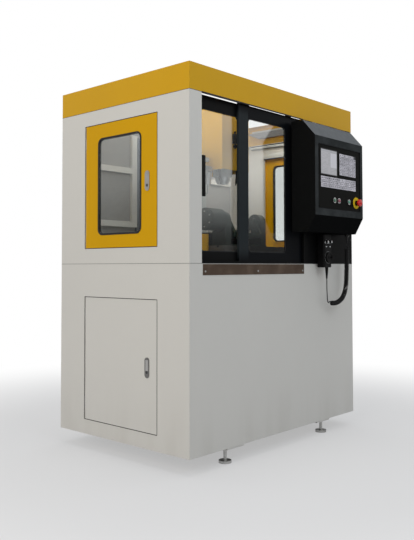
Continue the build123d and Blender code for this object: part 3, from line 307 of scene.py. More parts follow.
@dataclass(frozen=True)
class PowderCoat(Finish):
    """Powder paint on sheet steel, with a fine orange peel, cloudy tone and dust low down, and where asked a
    paler bluish top that is partly dust and partly painted sky sheen.
    """

    colour: Colour
    roughness: float = 0.45
    mottle: float = 0.06
    gloss: float = 0.45
    dusty: float = 0.0
    # how much dust and painted sky sheen lie on upward faces
    settled: float = 0.0
    peel: float = 0.12
    dust: Colour = (0.36, 0.33, 0.28)
    # the colour of that dust and painted sheen on upward faces
    film: Colour = (0.195, 0.205, 0.215)

    def tone(self, small: Expr) -> Expr:
        """Returns the paint's colour before any soil, partly from fine noise."""
        factor = noise(2.6, 4.0, 0.6) * 0.75 + small * 0.25
        return tones(factor, self.colour, 1.0 - self.mottle, 1.0 + self.mottle)

    def shade(self) -> Expr:
        """Shades painted sheet.

        Returns:
            The shader.
        """
        small = noise(38.0, 2.0)
        tone = self.tone(small)
        soil = (Z * -1.0).rise(-0.42, -0.06) * streaks((9.0, 9.0, 1.2)).rise(0.38, 0.72)
        soil = (soil * self.dusty).clamp()
        # upward faces turn paler and bluish: partly settled dust, partly a painted sheen of the sky
        if self.settled:
            facing = component(Expr("ShaderNodeNewGeometry", output="Normal"), 2)
            top_dust_and_sheen = facing.rise(0.2, 0.7) * (small * 0.3 + 0.7) * self.settled
            tone = blend(top_dust_and_sheen.clamp(), tone, self.film)
        return surface(
            Base_Color=blend(soil, tone, self.dust),
            Roughness=(small * 0.1 + soil * 0.3 + (self.roughness - 0.05)).clamp(),
            Specular_IOR_Level=self.gloss,
            Normal=bump(noise(620.0, 2.0), self.peel, 0.0006),
        )


@dataclass(frozen=True)
class BoxCoat(PowderCoat):
    """Black powder paint on a housing whose front frame is a greyer, rubbed texture."""

    front_at: float = -0.5187
    front_colour: Colour = (0.04, 0.043, 0.0435)

    def tone(self, small: Expr) -> Expr:
        """Returns the housing's colour, with the front frame in its own."""
        front = tones(noise(11.0, 4.0, 0.6).rise(0.3, 0.75), self.front_colour, 0.8, 1.3)
        return blend(Y < self.front_at, super().tone(small), front)


@dataclass(frozen=True)
class StileCoat(PowderCoat):
    """Door paint with a painted bluish highlight on its meeting stile."""

    left_from: Pair = (0.254, 0.258)
    stile_highlight_colour: Colour = (0.021, 0.0255, 0.028)

    def tone(self, small: Expr) -> Expr:
        """Returns the door's colour, with a painted highlight on the meeting stile."""
        # painted highlight: the meeting stile is paler and bluish
        worn = (X * -1.0).rise(*self.left_from) * Z.rise(0.93, 1.0) * (Z * -1.0).rise(-1.68, -1.63)
        return blend(worn * (small * 0.3 + 0.8), super().tone(small), self.stile_highlight_colour)


@dataclass(frozen=True)
class RibbedCoat(PowderCoat):
    """Cream paint on the rear panel, with painted shade on its inner face, and flush countersunk screws
    outside.
    """

    inner_face: float = 0.549
    inner_shade_colour: Colour = (0.305, 0.298, 0.288)
    screw_x: float = 0.6687
    screw_z: float = 0.105
    screw_pitch: float = 0.19453
    screw_radius: float = 0.0052

    def tone(self, small: Expr) -> Expr:
        """Colours the panel, with painted shade on its inner face.

        Args:
            small: fine noise.

        Returns:
            The colour.
        """
        # painted shade: the inner face is darker than the cream
        inner = (abs(Y - self.inner_face) < 0.0009) * (small * 0.2 + 0.85)
        paint = blend(inner, super().tone(small), self.inner_shade_colour)
        row = ((Z - self.screw_z) / self.screw_pitch + 0.5).fract() - 0.5
        away = hypot(abs(X) - self.screw_x, row * self.screw_pitch)
        outside = Y > self.inner_face + 0.0015
        # the dark centre of each painted screw head is painted shade in its socket; the dark ring round the
        # head is its groove
        metal = blend(away < self.screw_radius * 0.42, (0.33, 0.33, 0.32), (0.01, 0.01, 0.01))
        paint = blend(outside * (away < self.screw_radius), paint, metal)
        rim = outside * (away > self.screw_radius) * (away < self.screw_radius + 0.0007)
        return blend(rim * 0.7, paint, (0.05, 0.05, 0.05))


@dataclass(frozen=True)
class BrushedMetal(Finish):
    """Bare metal with fine lines along one axis, and faint stains."""

    colour: Colour
    lines: Point
    roughness: float = 0.3
    stain: Colour = (0.22, 0.17, 0.13)
    stained: float = 0.35

    def shade(self) -> Expr:
        """Shades brushed metal.

        Returns:
            The shader.
        """
        line = streaks(self.lines, 3.0, 0.65)
        patch = noise(9.0, 4.0, 0.6).rise(0.45, 0.75) * self.stained
        return surface(
            Base_Color=blend(patch, tones(line, self.colour, 0.8, 1.18), self.stain),
            Metallic=1.0,
            Roughness=(line * 0.16 + patch * 0.3 + (self.roughness - 0.08)).clamp(),
            Normal=bump(line, 0.12, 0.0003),
        )


@dataclass(frozen=True)
class Chrome(Finish):
    """Plating on a die casting, polished or satin, with finger marks."""

    colour: Colour
    satin: float
    # black for a keyhole, as painted shade in its recess, and for the groove round it
    plug: Colour = (0.004, 0.004, 0.004)

    def shade(self) -> Expr:
        """Returns plating with a faint ripple."""
        return self.plating(0.0, Normal=bump(noise(160.0, 1.0), 0.06, 0.0004))

    def plating(self, dark: Operand, **sockets: Any) -> Expr:
        """Shades plating that turns black where dark is 1.

        Args:
            dark: where black shows: painted shade in a keyhole, and dark grooves.
            sockets: further sockets of the shader.

        Returns:
            The shader.
        """
        smear = streaks((60.0, 60.0, 25.0), 4.0, 0.6)
        tone = blend(dark, tones(smear, self.colour, 0.8, 1.1), self.plug)
        roughness = (smear * 0.22 + (0.08 + self.satin)).clamp()
        return surface(Base_Color=tone, Metallic=1.0 - dark, Roughness=roughness, **sockets)


@dataclass(frozen=True)
class LatchPlating(Chrome):
    """Satin plating on a flush latch, with its keyhole painted black as painted shade, and the fine dark
    groove round it.
    """

    lock: Pair = (0.0, 0.0)
    keyhole_radius: float = 0.0066
    keyway: Pair = (0.0004, 0.0026)

    def shade(self) -> Expr:
        """Shades satin plating with a keyhole painted dark as painted shade.

        Returns:
            The shader.
        """
        across, up = Y - self.lock[0], Z - self.lock[1]
        away = hypot(across, up)
        cut = (abs(across) < self.keyway[0]) * (abs(up) < self.keyway[1])
        groove = (away > self.keyhole_radius + 0.001) * (away < self.keyhole_radius + 0.0016)
        # black inside the keyhole is painted shade; the keyway shows bare plating
        return self.plating(((away < self.keyhole_radius) * (1.0 - cut) + groove).clamp())


@dataclass(frozen=True)
class ZincPlate(Finish):
    """Bright zinc plating with a faint spangle."""

    colour: Colour = (0.5, 0.5, 0.49)
    grime: Colour = (0.12, 0.1, 0.08)

    def shade(self) -> Expr:
        """Shades zinc plating.

        Returns:
            The shader.
        """
        spangle = dice(vectors("MULTIPLY", PLACE, (160.0, 160.0, 160.0)))
        cloud = noise(45.0)
        dirt = noise(14.0, 4.0, 0.65).rise(0.5, 0.75) * 0.4
        tone = tones(spangle * 0.4 + cloud * 0.6, self.colour, 0.75, 1.0)
        roughness = (cloud * 0.2 + dirt * 0.3 + 0.3).clamp()
        return surface(Base_Color=blend(dirt, tone, self.grime), Metallic=1.0, Roughness=roughness)


@dataclass(frozen=True)
class Casting(Finish):
    """Machine enamel over cast iron, with the grain of the casting and an oily film."""

    colour: Colour
    roughness: float = 0.45

    def shade(self) -> Expr:
        """Shades painted casting.

        Returns:
            The shader.
        """
        grain = noise(240.0, 4.0, 0.6)
        oil = streaks((14.0, 14.0, 4.0)).rise(0.55, 0.72)
        tone = tones(noise(6.0, 5.0, 0.6), self.colour, 0.82, 1.1)
        return surface(
            Base_Color=blend(oil * 0.35, tone, shade_of(self.colour, 0.45)),
            Roughness=(grain * 0.12 - oil * 0.2 + self.roughness).clamp(),
            Normal=bump(grain, 0.35, 0.0008),
        )


@dataclass(frozen=True)
class GroundSteel(Finish):
    """Ground and scraped steel, crossed by fine lines."""

    colour: Colour = (0.46, 0.47, 0.48)
    worn: Colour = (0.16, 0.15, 0.13)

    def shade(self) -> Expr:
        """Shades ground steel.

        Returns:
            The shader.
        """
        lines = streaks((6.0, 700.0, 700.0), 2.0) * 0.6 + streaks((700.0, 6.0, 12.0), 2.0) * 0.4
        wear = noise(18.0, 4.0, 0.6)
        return surface(
            Base_Color=blend(wear.rise(0.5, 0.8) * 0.5, tones(lines, self.colour, 0.7, 1.2), self.worn),
            Metallic=1.0,
            Roughness=(lines * 0.2 + wear * 0.15 + 0.14).clamp(),
            Normal=bump(lines, 0.15, 0.0003),
        )


@dataclass(frozen=True)
class ClearPane(Finish):
    """Clear sheet that mirrors more at a flat angle, with a thin haze of dried mist."""

    mirror: float
    haze: float = 0.05
    misted_from: float = 1.15
    tint: Colour = (0.95, 0.965, 0.96)

    def shade(self) -> Expr:
        """Shades a clear pane.

        Returns:
            The shader.
        """
        mist = noise(5.0, 5.0, 0.65)
        facing = Expr("ShaderNodeLayerWeight", {}, {"Blend": 0.5}, "Facing")
        mirror = facing.math("POWER", 5.0) * (1.0 - self.mirror) + self.mirror
        runs = streaks((40.0, 40.0, 3.0)).rise(0.5, 0.9)
        film = (mist.rise(0.25, 0.85) * 0.7 + runs * 0.4 + 0.3) * self.haze
        film = film * Z.rise(self.misted_from, self.misted_from + 0.3)
        clear = Expr("ShaderNodeBsdfTransparent", {}, {"Color": opaque(self.tint)})
        veil = surface(Base_Color=(0.6, 0.61, 0.61), Roughness=0.8)
        sheen = (mist * 0.05 + 0.02).clamp()
        shine = surface(Base_Color=(0.9, 0.92, 0.93), Metallic=1.0, Roughness=sheen)
        return layered(mirror.clamp(), layered(film.clamp(), clear, veil), shine)


@dataclass(frozen=True)
class Rubber(Finish):
    """Extruded black rubber with a dull bloom."""

    colour: Colour = (0.014, 0.014, 0.015)

    def shade(self) -> Expr:
        """Shades rubber.

        Returns:
            The shader.
        """
        bloom = noise(30.0, 4.0, 0.6)
        return surface(
            Base_Color=tones(bloom.rise(0.45, 0.8), self.colour, 1.0, 2.4),
            Roughness=(bloom * 0.15 + 0.6).clamp(),
            Specular_IOR_Level=0.3,
            Normal=bump(noise(900.0, 2.0), 0.2, 0.0003),
        )


@dataclass(frozen=True)
class MouldedPlastic(Finish):
    """Moulded plastic with a spark-eroded grain and handled patches."""

    colour: Colour
    roughness: float = 0.45
    gloss: float = 0.4

    def shade(self) -> Expr:
        """Shades moulded plastic.

        Returns:
            The shader.
        """
        grain = noise(1100.0, 2.0)
        handled = noise(22.0)
        return surface(
            Base_Color=tones(handled, self.colour, 0.85, 1.2),
            Roughness=(grain * 0.12 - handled * 0.14 + self.roughness).clamp(),
            Specular_IOR_Level=self.gloss,
            Normal=bump(grain, 0.25, 0.0002),
        )


@dataclass(frozen=True)
class Lens(Finish):
    """A coloured push-button lens with moulded rings under its gloss, and a painted highlight at its centre.
    """

    colour: Colour
    centre: Pair

    def shade(self) -> Expr:
        """Shades a glossy lens.

        Returns:
            The shader.
        """
        away = hypot(X - self.centre[0], Z - self.centre[1])
        rings = (away * 5200.0).math("SINE") * 0.5 + 0.5
        return surface(
            # painted highlight and shade: the colour is lighter at the centre and darker at the rim
            Base_Color=tones(1.0 - away.rise(0.001, 0.0095), self.colour, 0.6, 1.5),
            Roughness=(rings * 0.08 + 0.12).clamp(),
            Coat_Weight=0.6,
            Coat_Roughness=0.05,
            Normal=bump(rings, 0.15, 0.0003),
        )


@dataclass(frozen=True)
class Display(Finish):
    """A lit display that shows plain bands, a grid and rows of short bars."""

    corner: Point
    width: float
    height: float

    def shade(self) -> Expr:
        """Shades the display.

        Returns:
            The shader.
        """
        local = vectors("SUBTRACT", PLACE, self.corner)
        across, up = component(local, 0) / self.width, component(local, 2) / self.height
        line = (up * 17.0).fract()
        bar = line.rise(0.35, 0.5) * (1.0 - line.rise(0.75, 0.85))
        written = (dice(plane(across * 9.0, up * 17.0)) > 0.42) * bar
        frame = (across < 0.03) + (up < 0.05) + (up > 0.92)
        chart = (across > 0.6) * (up > 0.3) * (up < 0.88)
        grid = ((across * 30.0).fract() < 0.12) + ((up * 20.0).fract() < 0.12)
        cloudy = noise(9.0, vector=local)
        paper = blend(cloudy, (0.31, 0.302, 0.315), (0.4, 0.388, 0.405))
        paper = blend(chart, paper, (0.47, 0.46, 0.49))
        marks = (written * (1.0 - chart) * 0.42 + grid * chart * 0.08).clamp()
        page = blend(marks, paper, (0.2, 0.22, 0.22))
        shown = blend((frame * 0.12).clamp(), page, (0.22, 0.26, 0.3))
        return surface(
            Base_Color=shown,
            Emission_Color=shown,
            Emission_Strength=0.26,
            Roughness=(cloudy * 0.06 + 0.1).clamp(),
            Specular_IOR_Level=0.5,
        )


@dataclass(frozen=True)
class KeyFilm(Finish):
    """Printed key film, whose tone jumps from key to key and carries a short bar on each."""

    corner: Point
    pitch: Pair
    dark_from: Pair
    colour: Colour = (0.66, 0.63, 0.68)
    mark: Colour = (0.03, 0.03, 0.04)

    def shade(self) -> Expr:
        """Shades printed film.

        Returns:
            The shader.
        """
        local = vectors("SUBTRACT", PLACE, self.corner)
        column, row = component(local, 0) / self.pitch[0], component(local, 2) / self.pitch[1]
        cell = plane(column, row)
        reach = dice(vectors("SUBTRACT", cell, (31.0, 7.0, 5.0))) * 0.3 + 0.08
        bar = (abs(column.fract() - 0.5) < reach) * (abs(row.fract() - 0.52) < 0.2)
        dark = (column > self.dark_from[0]) * (row > self.dark_from[1])
        film = tones(dice(cell), self.colour, 0.75, 1.2)
        return surface(
            Base_Color=blend((bar * 0.8 + dark).clamp(), film, self.mark),
            Roughness=(noise(60.0, vector=local) * 0.2 + 0.35).clamp(),
            Specular_IOR_Level=0.4,
        )


@dataclass(frozen=True)
class PanelPaint(Finish):
    """Dark panel paint with chrome rings at the buttons and a yellow disc at the emergency stop."""

    colour: Colour
    face: float
    rings: tuple[Pair, ...]
    stop: Pair
    ring_radius: float = 0.0146
    disc_radius: float = 0.0316
    collar_radius: float = 0.0142

    def shade(self) -> Expr:
        """Shades the operator panel.

        Returns:
            The shader.
        """
        proud = Y < self.face - 0.0002
        metal = (sum(self.inside(ring, self.ring_radius) for ring in self.rings) * proud).clamp()
        disc = self.inside(self.stop, self.disc_radius) - self.inside(self.stop, self.collar_radius)
        cloud = noise(12.0, 4.0)
        tone = blend((disc * proud).clamp(), tones(cloud, self.colour, 0.75, 1.3), (0.72, 0.5, 0.02))
        return surface(
            Base_Color=blend(metal, tone, (0.6, 0.6, 0.6)),
            Metallic=metal,
            Roughness=(cloud * 0.1 + 0.45 - metal * 0.3).clamp(),
            Specular_IOR_Level=0.03,
            Normal=bump(noise(700.0, 2.0), 0.15, 0.0004),
        )

    def inside(self, centre: Pair, radius: float) -> Expr:
        """Returns 1 within a radius of an axis that runs along Y."""
        return hypot(X - centre[0], Z - centre[1]) < radius


@dataclass(frozen=True)
class StudioFloor(Finish):
    """Pale floor that fades to white away from the machine and keeps its shadow."""

    colour: Colour = (0.46, 0.46, 0.47)
    lift: float = 0.42

    def shade(self) -> Expr:
        """Shades the floor.

        Returns:
            The shader.
        """
        fade = vectors("LENGTH", PLACE, output="Value").rise(1.2, 3.2)
        lit = surface(Base_Color=tones(noise(90.0), self.colour, 0.97, 1.0), Roughness=0.9)
        white = Expr("ShaderNodeEmission", {}, {"Color": (1.0, 1.0, 1.0, 1.0)})
        return layered((seen() * (fade * (1.0 - self.lift) + self.lift)).clamp(), lit, white)


YELLOW = PowderCoat("yellow", (0.62, 0.338, 0.003), 0.42, gloss=0.2, slot="yellow_paint")
CREAM = PowderCoat("cream", (0.63, 0.613, 0.575), mottle=0.03, dusty=0.12)
# its inner face carries painted shade
REAR_CREAM = RibbedCoat("rear_cream", CREAM.colour, mottle=0.03, dusty=0.12)
# dark paint for a strip that stands in for shade on the rear wall
REAR_SHADE_PAINT = PowderCoat("duct", (0.17, 0.185, 0.21), 0.5, 0.1, slot="black_plastic")
LINER = PowderCoat("liner", (0.56, 0.56, 0.53), 0.5, slot="white_paint")
BLACK = PowderCoat("black", (0.005, 0.0051, 0.0053), 0.4, 0.2, 0.05, slot="black_paint")
# the meeting stile in this paint carries a painted highlight
SLATE = StileCoat("slate", (0.0035, 0.0042, 0.0055), 0.38, 0.15, 0.05, slot="black_paint")
DOOR_YELLOW = PowderCoat("door_yellow", (0.63, 0.335, 0.001), gloss=0.1)
# the box's top carries dust and a painted sky sheen
BOX_BLACK = BoxCoat("box_black", (0.0066, 0.0068, 0.0068), 0.4, 0.2, 0.0, settled=0.7)
# white paint darkened to grey as painted shade, for the fascia channels and the strips below the rails
SHADED_CHANNEL = PowderCoat("channel", (0.2, 0.2, 0.205), mottle=0.1, slot="white_paint")
STAINLESS = BrushedMetal("stainless", (0.125, 0.088, 0.066), (6.0, 900.0, 900.0))
ZINC = ZincPlate("zinc", slot="zinc_steel")
SATIN = Chrome("satin", (0.46, 0.45, 0.44), 0.2)
SATIN_DARK = Chrome("satin_dark", (0.2, 0.195, 0.19), 0.24)
FRONT_PANE = ClearPane("front_pane", 0.12)
SIDE_PANE = ClearPane("side_pane", 0.03)
RUBBER = Rubber("rubber")
CORD_BLACK = Rubber("cord_black", (0.0035, 0.0035, 0.004), slot="black_plastic")
ENAMEL = Casting("enamel", (0.4, 0.42, 0.41))
DRIVE = Casting("drive", (0.014, 0.024, 0.017), 0.4, slot="dark_drive")
GROUND = GroundSteel("ground", slot="ground_steel")
TABLE_STEEL = GroundSteel("table_steel", (0.14, 0.13, 0.12))
BLACK_PLASTIC = MouldedPlastic("black_plastic", (0.0055, 0.0055, 0.006), gloss=0.3)
WHITE_PLASTIC = MouldedPlastic("white_plastic", (0.6, 0.61, 0.6), 0.35)
PENDANT_BLACK = MouldedPlastic("pendant_black", (0.003, 0.003, 0.0032), 0.5, 0.1, slot="black_plastic")
RED_PLASTIC = MouldedPlastic("red_plastic", (0.55, 0.012, 0.01), 0.28, 0.5)


# ---------------------------------------------------------------- pieces and their meshes


class Frame:
    """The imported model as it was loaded."""

    nodes: dict[str, bpy.types.Object] = {}
    cad_box: Any = None

    @classmethod
    def open(cls) -> None:
        """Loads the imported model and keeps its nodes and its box."""
        cls.nodes = dict(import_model()["nodes"])
        cls.cad_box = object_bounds()


def dress(finish: Finish, *names: str) -> None:
    """Gives CAD nodes their finish.

    Args:
        finish: the finish.
        names: the nodes that get it.
    """
    for name in names:
        data = Frame.nodes[name].data
        data.materials.clear()
        data.materials.append(finish.material())
        LOG.info("%s is finished in %s", name, finish.label)


def ride(piece: bpy.types.Object, finish: Finish, body: str, *replaced: str) -> bpy.types.Object:
    """Makes a piece ride on a body, in place of the CAD nodes named.

    Args:
        piece: the finished piece.
        finish: its finish; not used.
        body: the body that carries it.
        replaced: the CAD nodes that it stands for.

    Returns:
        The piece.
    """
    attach(piece, body)
    if replaced:
        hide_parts(*replaced)
    LOG.info("%s rides on %s, %d faces", piece.name, body, len(piece.data.polygons))
    return piece


class Fitting:
    """Gathers the faces of one small part before it becomes an object."""

    def __init__(self, name: str) -> None:
        """Starts an empty mesh."""
        self.name = name
        self.mesh = bmesh.new()

    def loft(self, rings: Sequence[Sequence[Point]], again: bool = False) -> "Fitting":
        """Skins rings of points in turn, where a ring of one point is a tip.

        Args:
            rings: the points of each ring.
            again: joins the last ring to the first, in place of closing both.

        Returns:
            The fitting itself.
        """
        loops = [[self.mesh.verts.new(point) for point in ring] for ring in rings]
        for low, high in zip(loops, loops[1:] + loops[: int(again)]):
            for step in range(max(len(low), len(high))):
                near, far = ([loop[(step + more) % len(loop)] for more in (0, 1)] for loop in (low, high))
                corners = list(dict.fromkeys(near + far[::-1]))
                if len(corners) > 2:
                    self.mesh.faces.new(corners)
        for loop in () if again else (loops[0], loops[-1]):
            if len(loop) > 2:
                self.mesh.faces.new(loop)
        return self

    def turn(
        self,
        profile: Sequence[Pair],
        centre: Point = NONE,
        axis: Point = UP,
        sides: int = 28,
        lobes: Optional[dict[int, tuple[int, float]]] = None,
    ) -> "Fitting":
        """Turns a profile round an axis into a closed form.

        Args:
            profile: radius and height pairs, from one end to the other.
            centre: the point at height 0.
            axis: the direction of rising height.
            sides: how many steps go round.
            lobes: for a row of the profile, how many lobes it has and their depth as a share.

        Returns:
            The fitting itself.
        """
        up = Vector(axis).normalized()
        side = up.orthogonal().normalized()
        cross = up.cross(side)
        rings = []
        for row, (radius, height) in enumerate(profile):
            count, share = (lobes or {}).get(row, (0, 0.0))
            ring = []
            for step in range(sides if radius > TINY else 1):
                angle = TURN * step / sides
                swell = radius * (1 - share * (0.5 - 0.5 * math.cos(count * angle)))
                arm = side * math.cos(angle) + cross * math.sin(angle)
                ring.append(Vector(centre) + up * height + arm * swell)
            rings.append(ring)
        return self.loft(rings)

    def block(self, low: Point, high: Point, edge: float, steps: int = 2) -> "Fitting":
        """Adds a block with rounded edges.

        Args:
            low: its lowest corner.
            high: its highest corner.
            edge: how far its edges are rounded.
            steps: faces across a rounded edge.

        Returns:
            The fitting itself.
        """
        span = Vector(high) - Vector(low)
        place = Matrix.Translation((Vector(high) + Vector(low)) / 2) @ Matrix.Diagonal((*span, 1.0))
        corners = bmesh.ops.create_cube(self.mesh, size=1.0, matrix=place)["verts"]
        edges = list({line for corner in corners for line in corner.link_edges})
        rounding = {"offset": edge, "segments": steps, "profile": 0.5, "clamp_overlap": True}
        bmesh.ops.bevel(self.mesh, geom=edges, affect="EDGES", **rounding)
        return self

    def prism(self, outline: Sequence[Point], push: Point) -> "Fitting":
        """Pushes a flat outline along a direction into a closed form."""
        return self.loft([outline, [Vector(corner) + Vector(push) for corner in outline]])

    def frame(
        self, low: Point, high: Point, wall: float, corner: float, normal: int, steps: int = 6
    ) -> "Fitting":
        """Adds a flat frame with rounded corners.

        Args:
            low: its lowest corner.
            high: its highest corner.
            wall: how wide the frame is.
            corner: the outer corner's radius.
            normal: the axis that the frame faces along.
            steps: faces round each corner.

        Returns:
            The fitting itself.
        """
        first, second = (index for index in range(3) if index != normal)
        loops = []
        for inset, level in ((0.0, low), (wall, low), (wall, high), (0.0, high)):
            radius = max(corner - inset, wall * 0.2)
            back = inset + radius
            loop = []
            for quarter in range(4):
                middle = list(level)
                middle[first] = high[first] - back if quarter in (0, 3) else low[first] + back
                middle[second] = high[second] - back if quarter in (0, 1) else low[second] + back
                for step in range(steps + 1):
                    angle = TURN / 4 * (quarter + step / steps)
                    point = list(middle)
                    point[first] += radius * math.cos(angle)
                    point[second] += radius * math.sin(angle)
                    loop.append(point)
            loops.append(loop)
        return self.loft(loops, again=True)

    def place(self, finish: Finish, smooth_under: float = SMOOTH_UNDER) -> bpy.types.Object:
        """Closes the mesh and puts it in the scene as an object at the origin.

        Args:
            finish: its finish.
            smooth_under: edges flatter than this many degrees are smooth.

        Returns:
            The object.
        """
        bmesh.ops.recalc_face_normals(self.mesh, faces=self.mesh.faces)
        data = bpy.data.meshes.new(self.name)
        self.mesh.to_mesh(data)
        self.mesh.free()
        data.shade_smooth()
        data.set_sharp_from_angle(angle=math.radians(smooth_under))
        data.materials.append(finish.material())
        made = bpy.data.objects.new(self.name, data)
        bpy.context.scene.collection.objects.link(made)
        return made

    def mount(self, finish: Finish, body: str = "root", *replaced: str) -> bpy.types.Object:
        """Places the fitting and makes it ride on a body, in place of the CAD nodes named."""
        return ride(self.place(finish), finish, body, *replaced)


class Pattern(enum.Enum):
    """How copies of a unit are laid out."""

    GRID = "grid"
    RING = "ring"


@dataclass
class Scatter:
    """Copies a small unit over a grid or round a ring with Geometry Nodes."""

    pattern: Pattern
    count: int
    origin: Point
    columns: int = 1
    step: Point = NONE
    row_step: Point = NONE
    radius: float = 0.0
    axis: Point = UP
    twist: float = 0.0
    seed: int = 7

    def sizes(self) -> dict[str, Any]:
        """Returns the tree's size inputs by name."""
        given = {name.title().replace("_", " "): value for name, value in vars(self).items()}
        return {name: value for name, value in given.items() if name != "Pattern"}

    def tree(self, finish: Finish) -> bpy.types.NodeTree:
        """Builds the tree with named inputs.

        Args:
            finish: the finish that the copies get.

        Returns:
            The tree.
        """
        tree = bpy.data.node_groups.new("scatter." + self.pattern.value, "GeometryNodeTree")
        kinds = {int: "Int", float: "Float", tuple: "Vector"}
        sizes = {name: kinds[type(value)] for name, value in self.sizes().items()}
        sockets = {"Unit": "Geometry", **sizes}
        for name, kind in sockets.items():
            tree.interface.new_socket(name, in_out="INPUT", socket_type="NodeSocket" + kind)
        tree.interface.new_socket("Copies", in_out="OUTPUT", socket_type="NodeSocketGeometry")
        asked = {name: Expr("NodeGroupInput", output=name) for name in sockets}
        index = Expr("GeometryNodeInputIndex")
        limits = {2: 0.0, 3: asked["Twist"], "Seed": asked["Seed"]}
        angle = Expr("FunctionNodeRandomValue", {"data_type": "FLOAT"}, limits, 1)
        if self.pattern is Pattern.RING:
            angle = index * TURN / asked["Count"] + angle
        spin = Expr("FunctionNodeAxisAngleToRotation", {}, {"Axis": asked["Axis"], "Angle": angle})
        if self.pattern is Pattern.RING:
            arm = self.scaled(asked["Step"], asked["Radius"])
            offset = Expr("FunctionNodeRotateVector", {}, {"Vector": arm, "Rotation": spin})
        else:
            across = self.scaled(asked["Step"], index.math("MODULO", asked["Columns"]))
            up = self.scaled(asked["Row Step"], (index / asked["Columns"]).math("FLOOR"))
            offset = vectors("ADD", across, up)
        position = vectors("ADD", asked["Origin"], offset)
        points = Expr("GeometryNodePoints", {}, {"Count": asked["Count"], "Position": position})
        given = {"Points": points, "Instance": asked["Unit"], "Rotation": spin}
        real = Expr("GeometryNodeRealizeInstances", {}, {0: Expr("GeometryNodeInstanceOnPoints", {}, given)})
        painted = Expr("GeometryNodeSetMaterial", {}, {"Geometry": real, "Material": finish.material()})
        Graph(tree).add(Expr("NodeGroupOutput", {}, {"Copies": painted}))
        return tree

    def scaled(self, vector: Expr, factor: Expr) -> Expr:
        """Returns a vector multiplied by a number."""
        return Expr("ShaderNodeVectorMath", {"operation": "SCALE"}, {0: vector, "Scale": factor})

    def copy(self, unit: Fitting, finish: Finish, body: str = "root") -> None:
        """Lays out copies of a unit as one plain mesh that rides on a body.

        Args:
            unit: the unit, built round the origin.
            finish: its finish.
            body: the body that carries the copies.
        """
        made = unit.place(finish)
        modifier = made.modifiers.new("copies", "NODES")
        modifier.node_group = self.tree(finish)
        sizes = self.sizes()
        for item in modifier.node_group.interface.items_tree:
            if item.in_out == "INPUT" and item.name in sizes:
                modifier[item.identifier] = sizes[item.name]
        made.update_tag()
        evaluated = made.evaluated_get(bpy.context.evaluated_depsgraph_get())
        baked = bpy.data.meshes.new_from_object(evaluated)
        made.modifiers.clear()
        made.data = baked
        baked.name = made.name
        ride(made, finish, body)

    def screws(
        self, name: str, radius: float, height: float, way: Point, finish: Finish = ZINC, body: str = "root"
    ) -> None:
        """Lays out button-head screws with a hexagon socket.

        Args:
            name: the piece's name.
            radius: the head's radius.
            height: the head's height.
            way: the way that the heads face.
            finish: their finish.
            body: the body that carries them.
        """
        shares = ((1.0, 0.0), (1.0, 0.35), (0.86, 0.78), (0.6, 1.0), (0.46, 1.0), (0.44, 0.35))
        profile = [(out * radius, up * height) for out, up in shares]
        hexagon = {4: (6, 0.13), 5: (6, 0.13)}
        self.copy(Fitting(name).turn(profile, axis=way, sides=12, lobes=hexagon), finish, body)


# ---------------------------------------------------------------- sub-assemblies


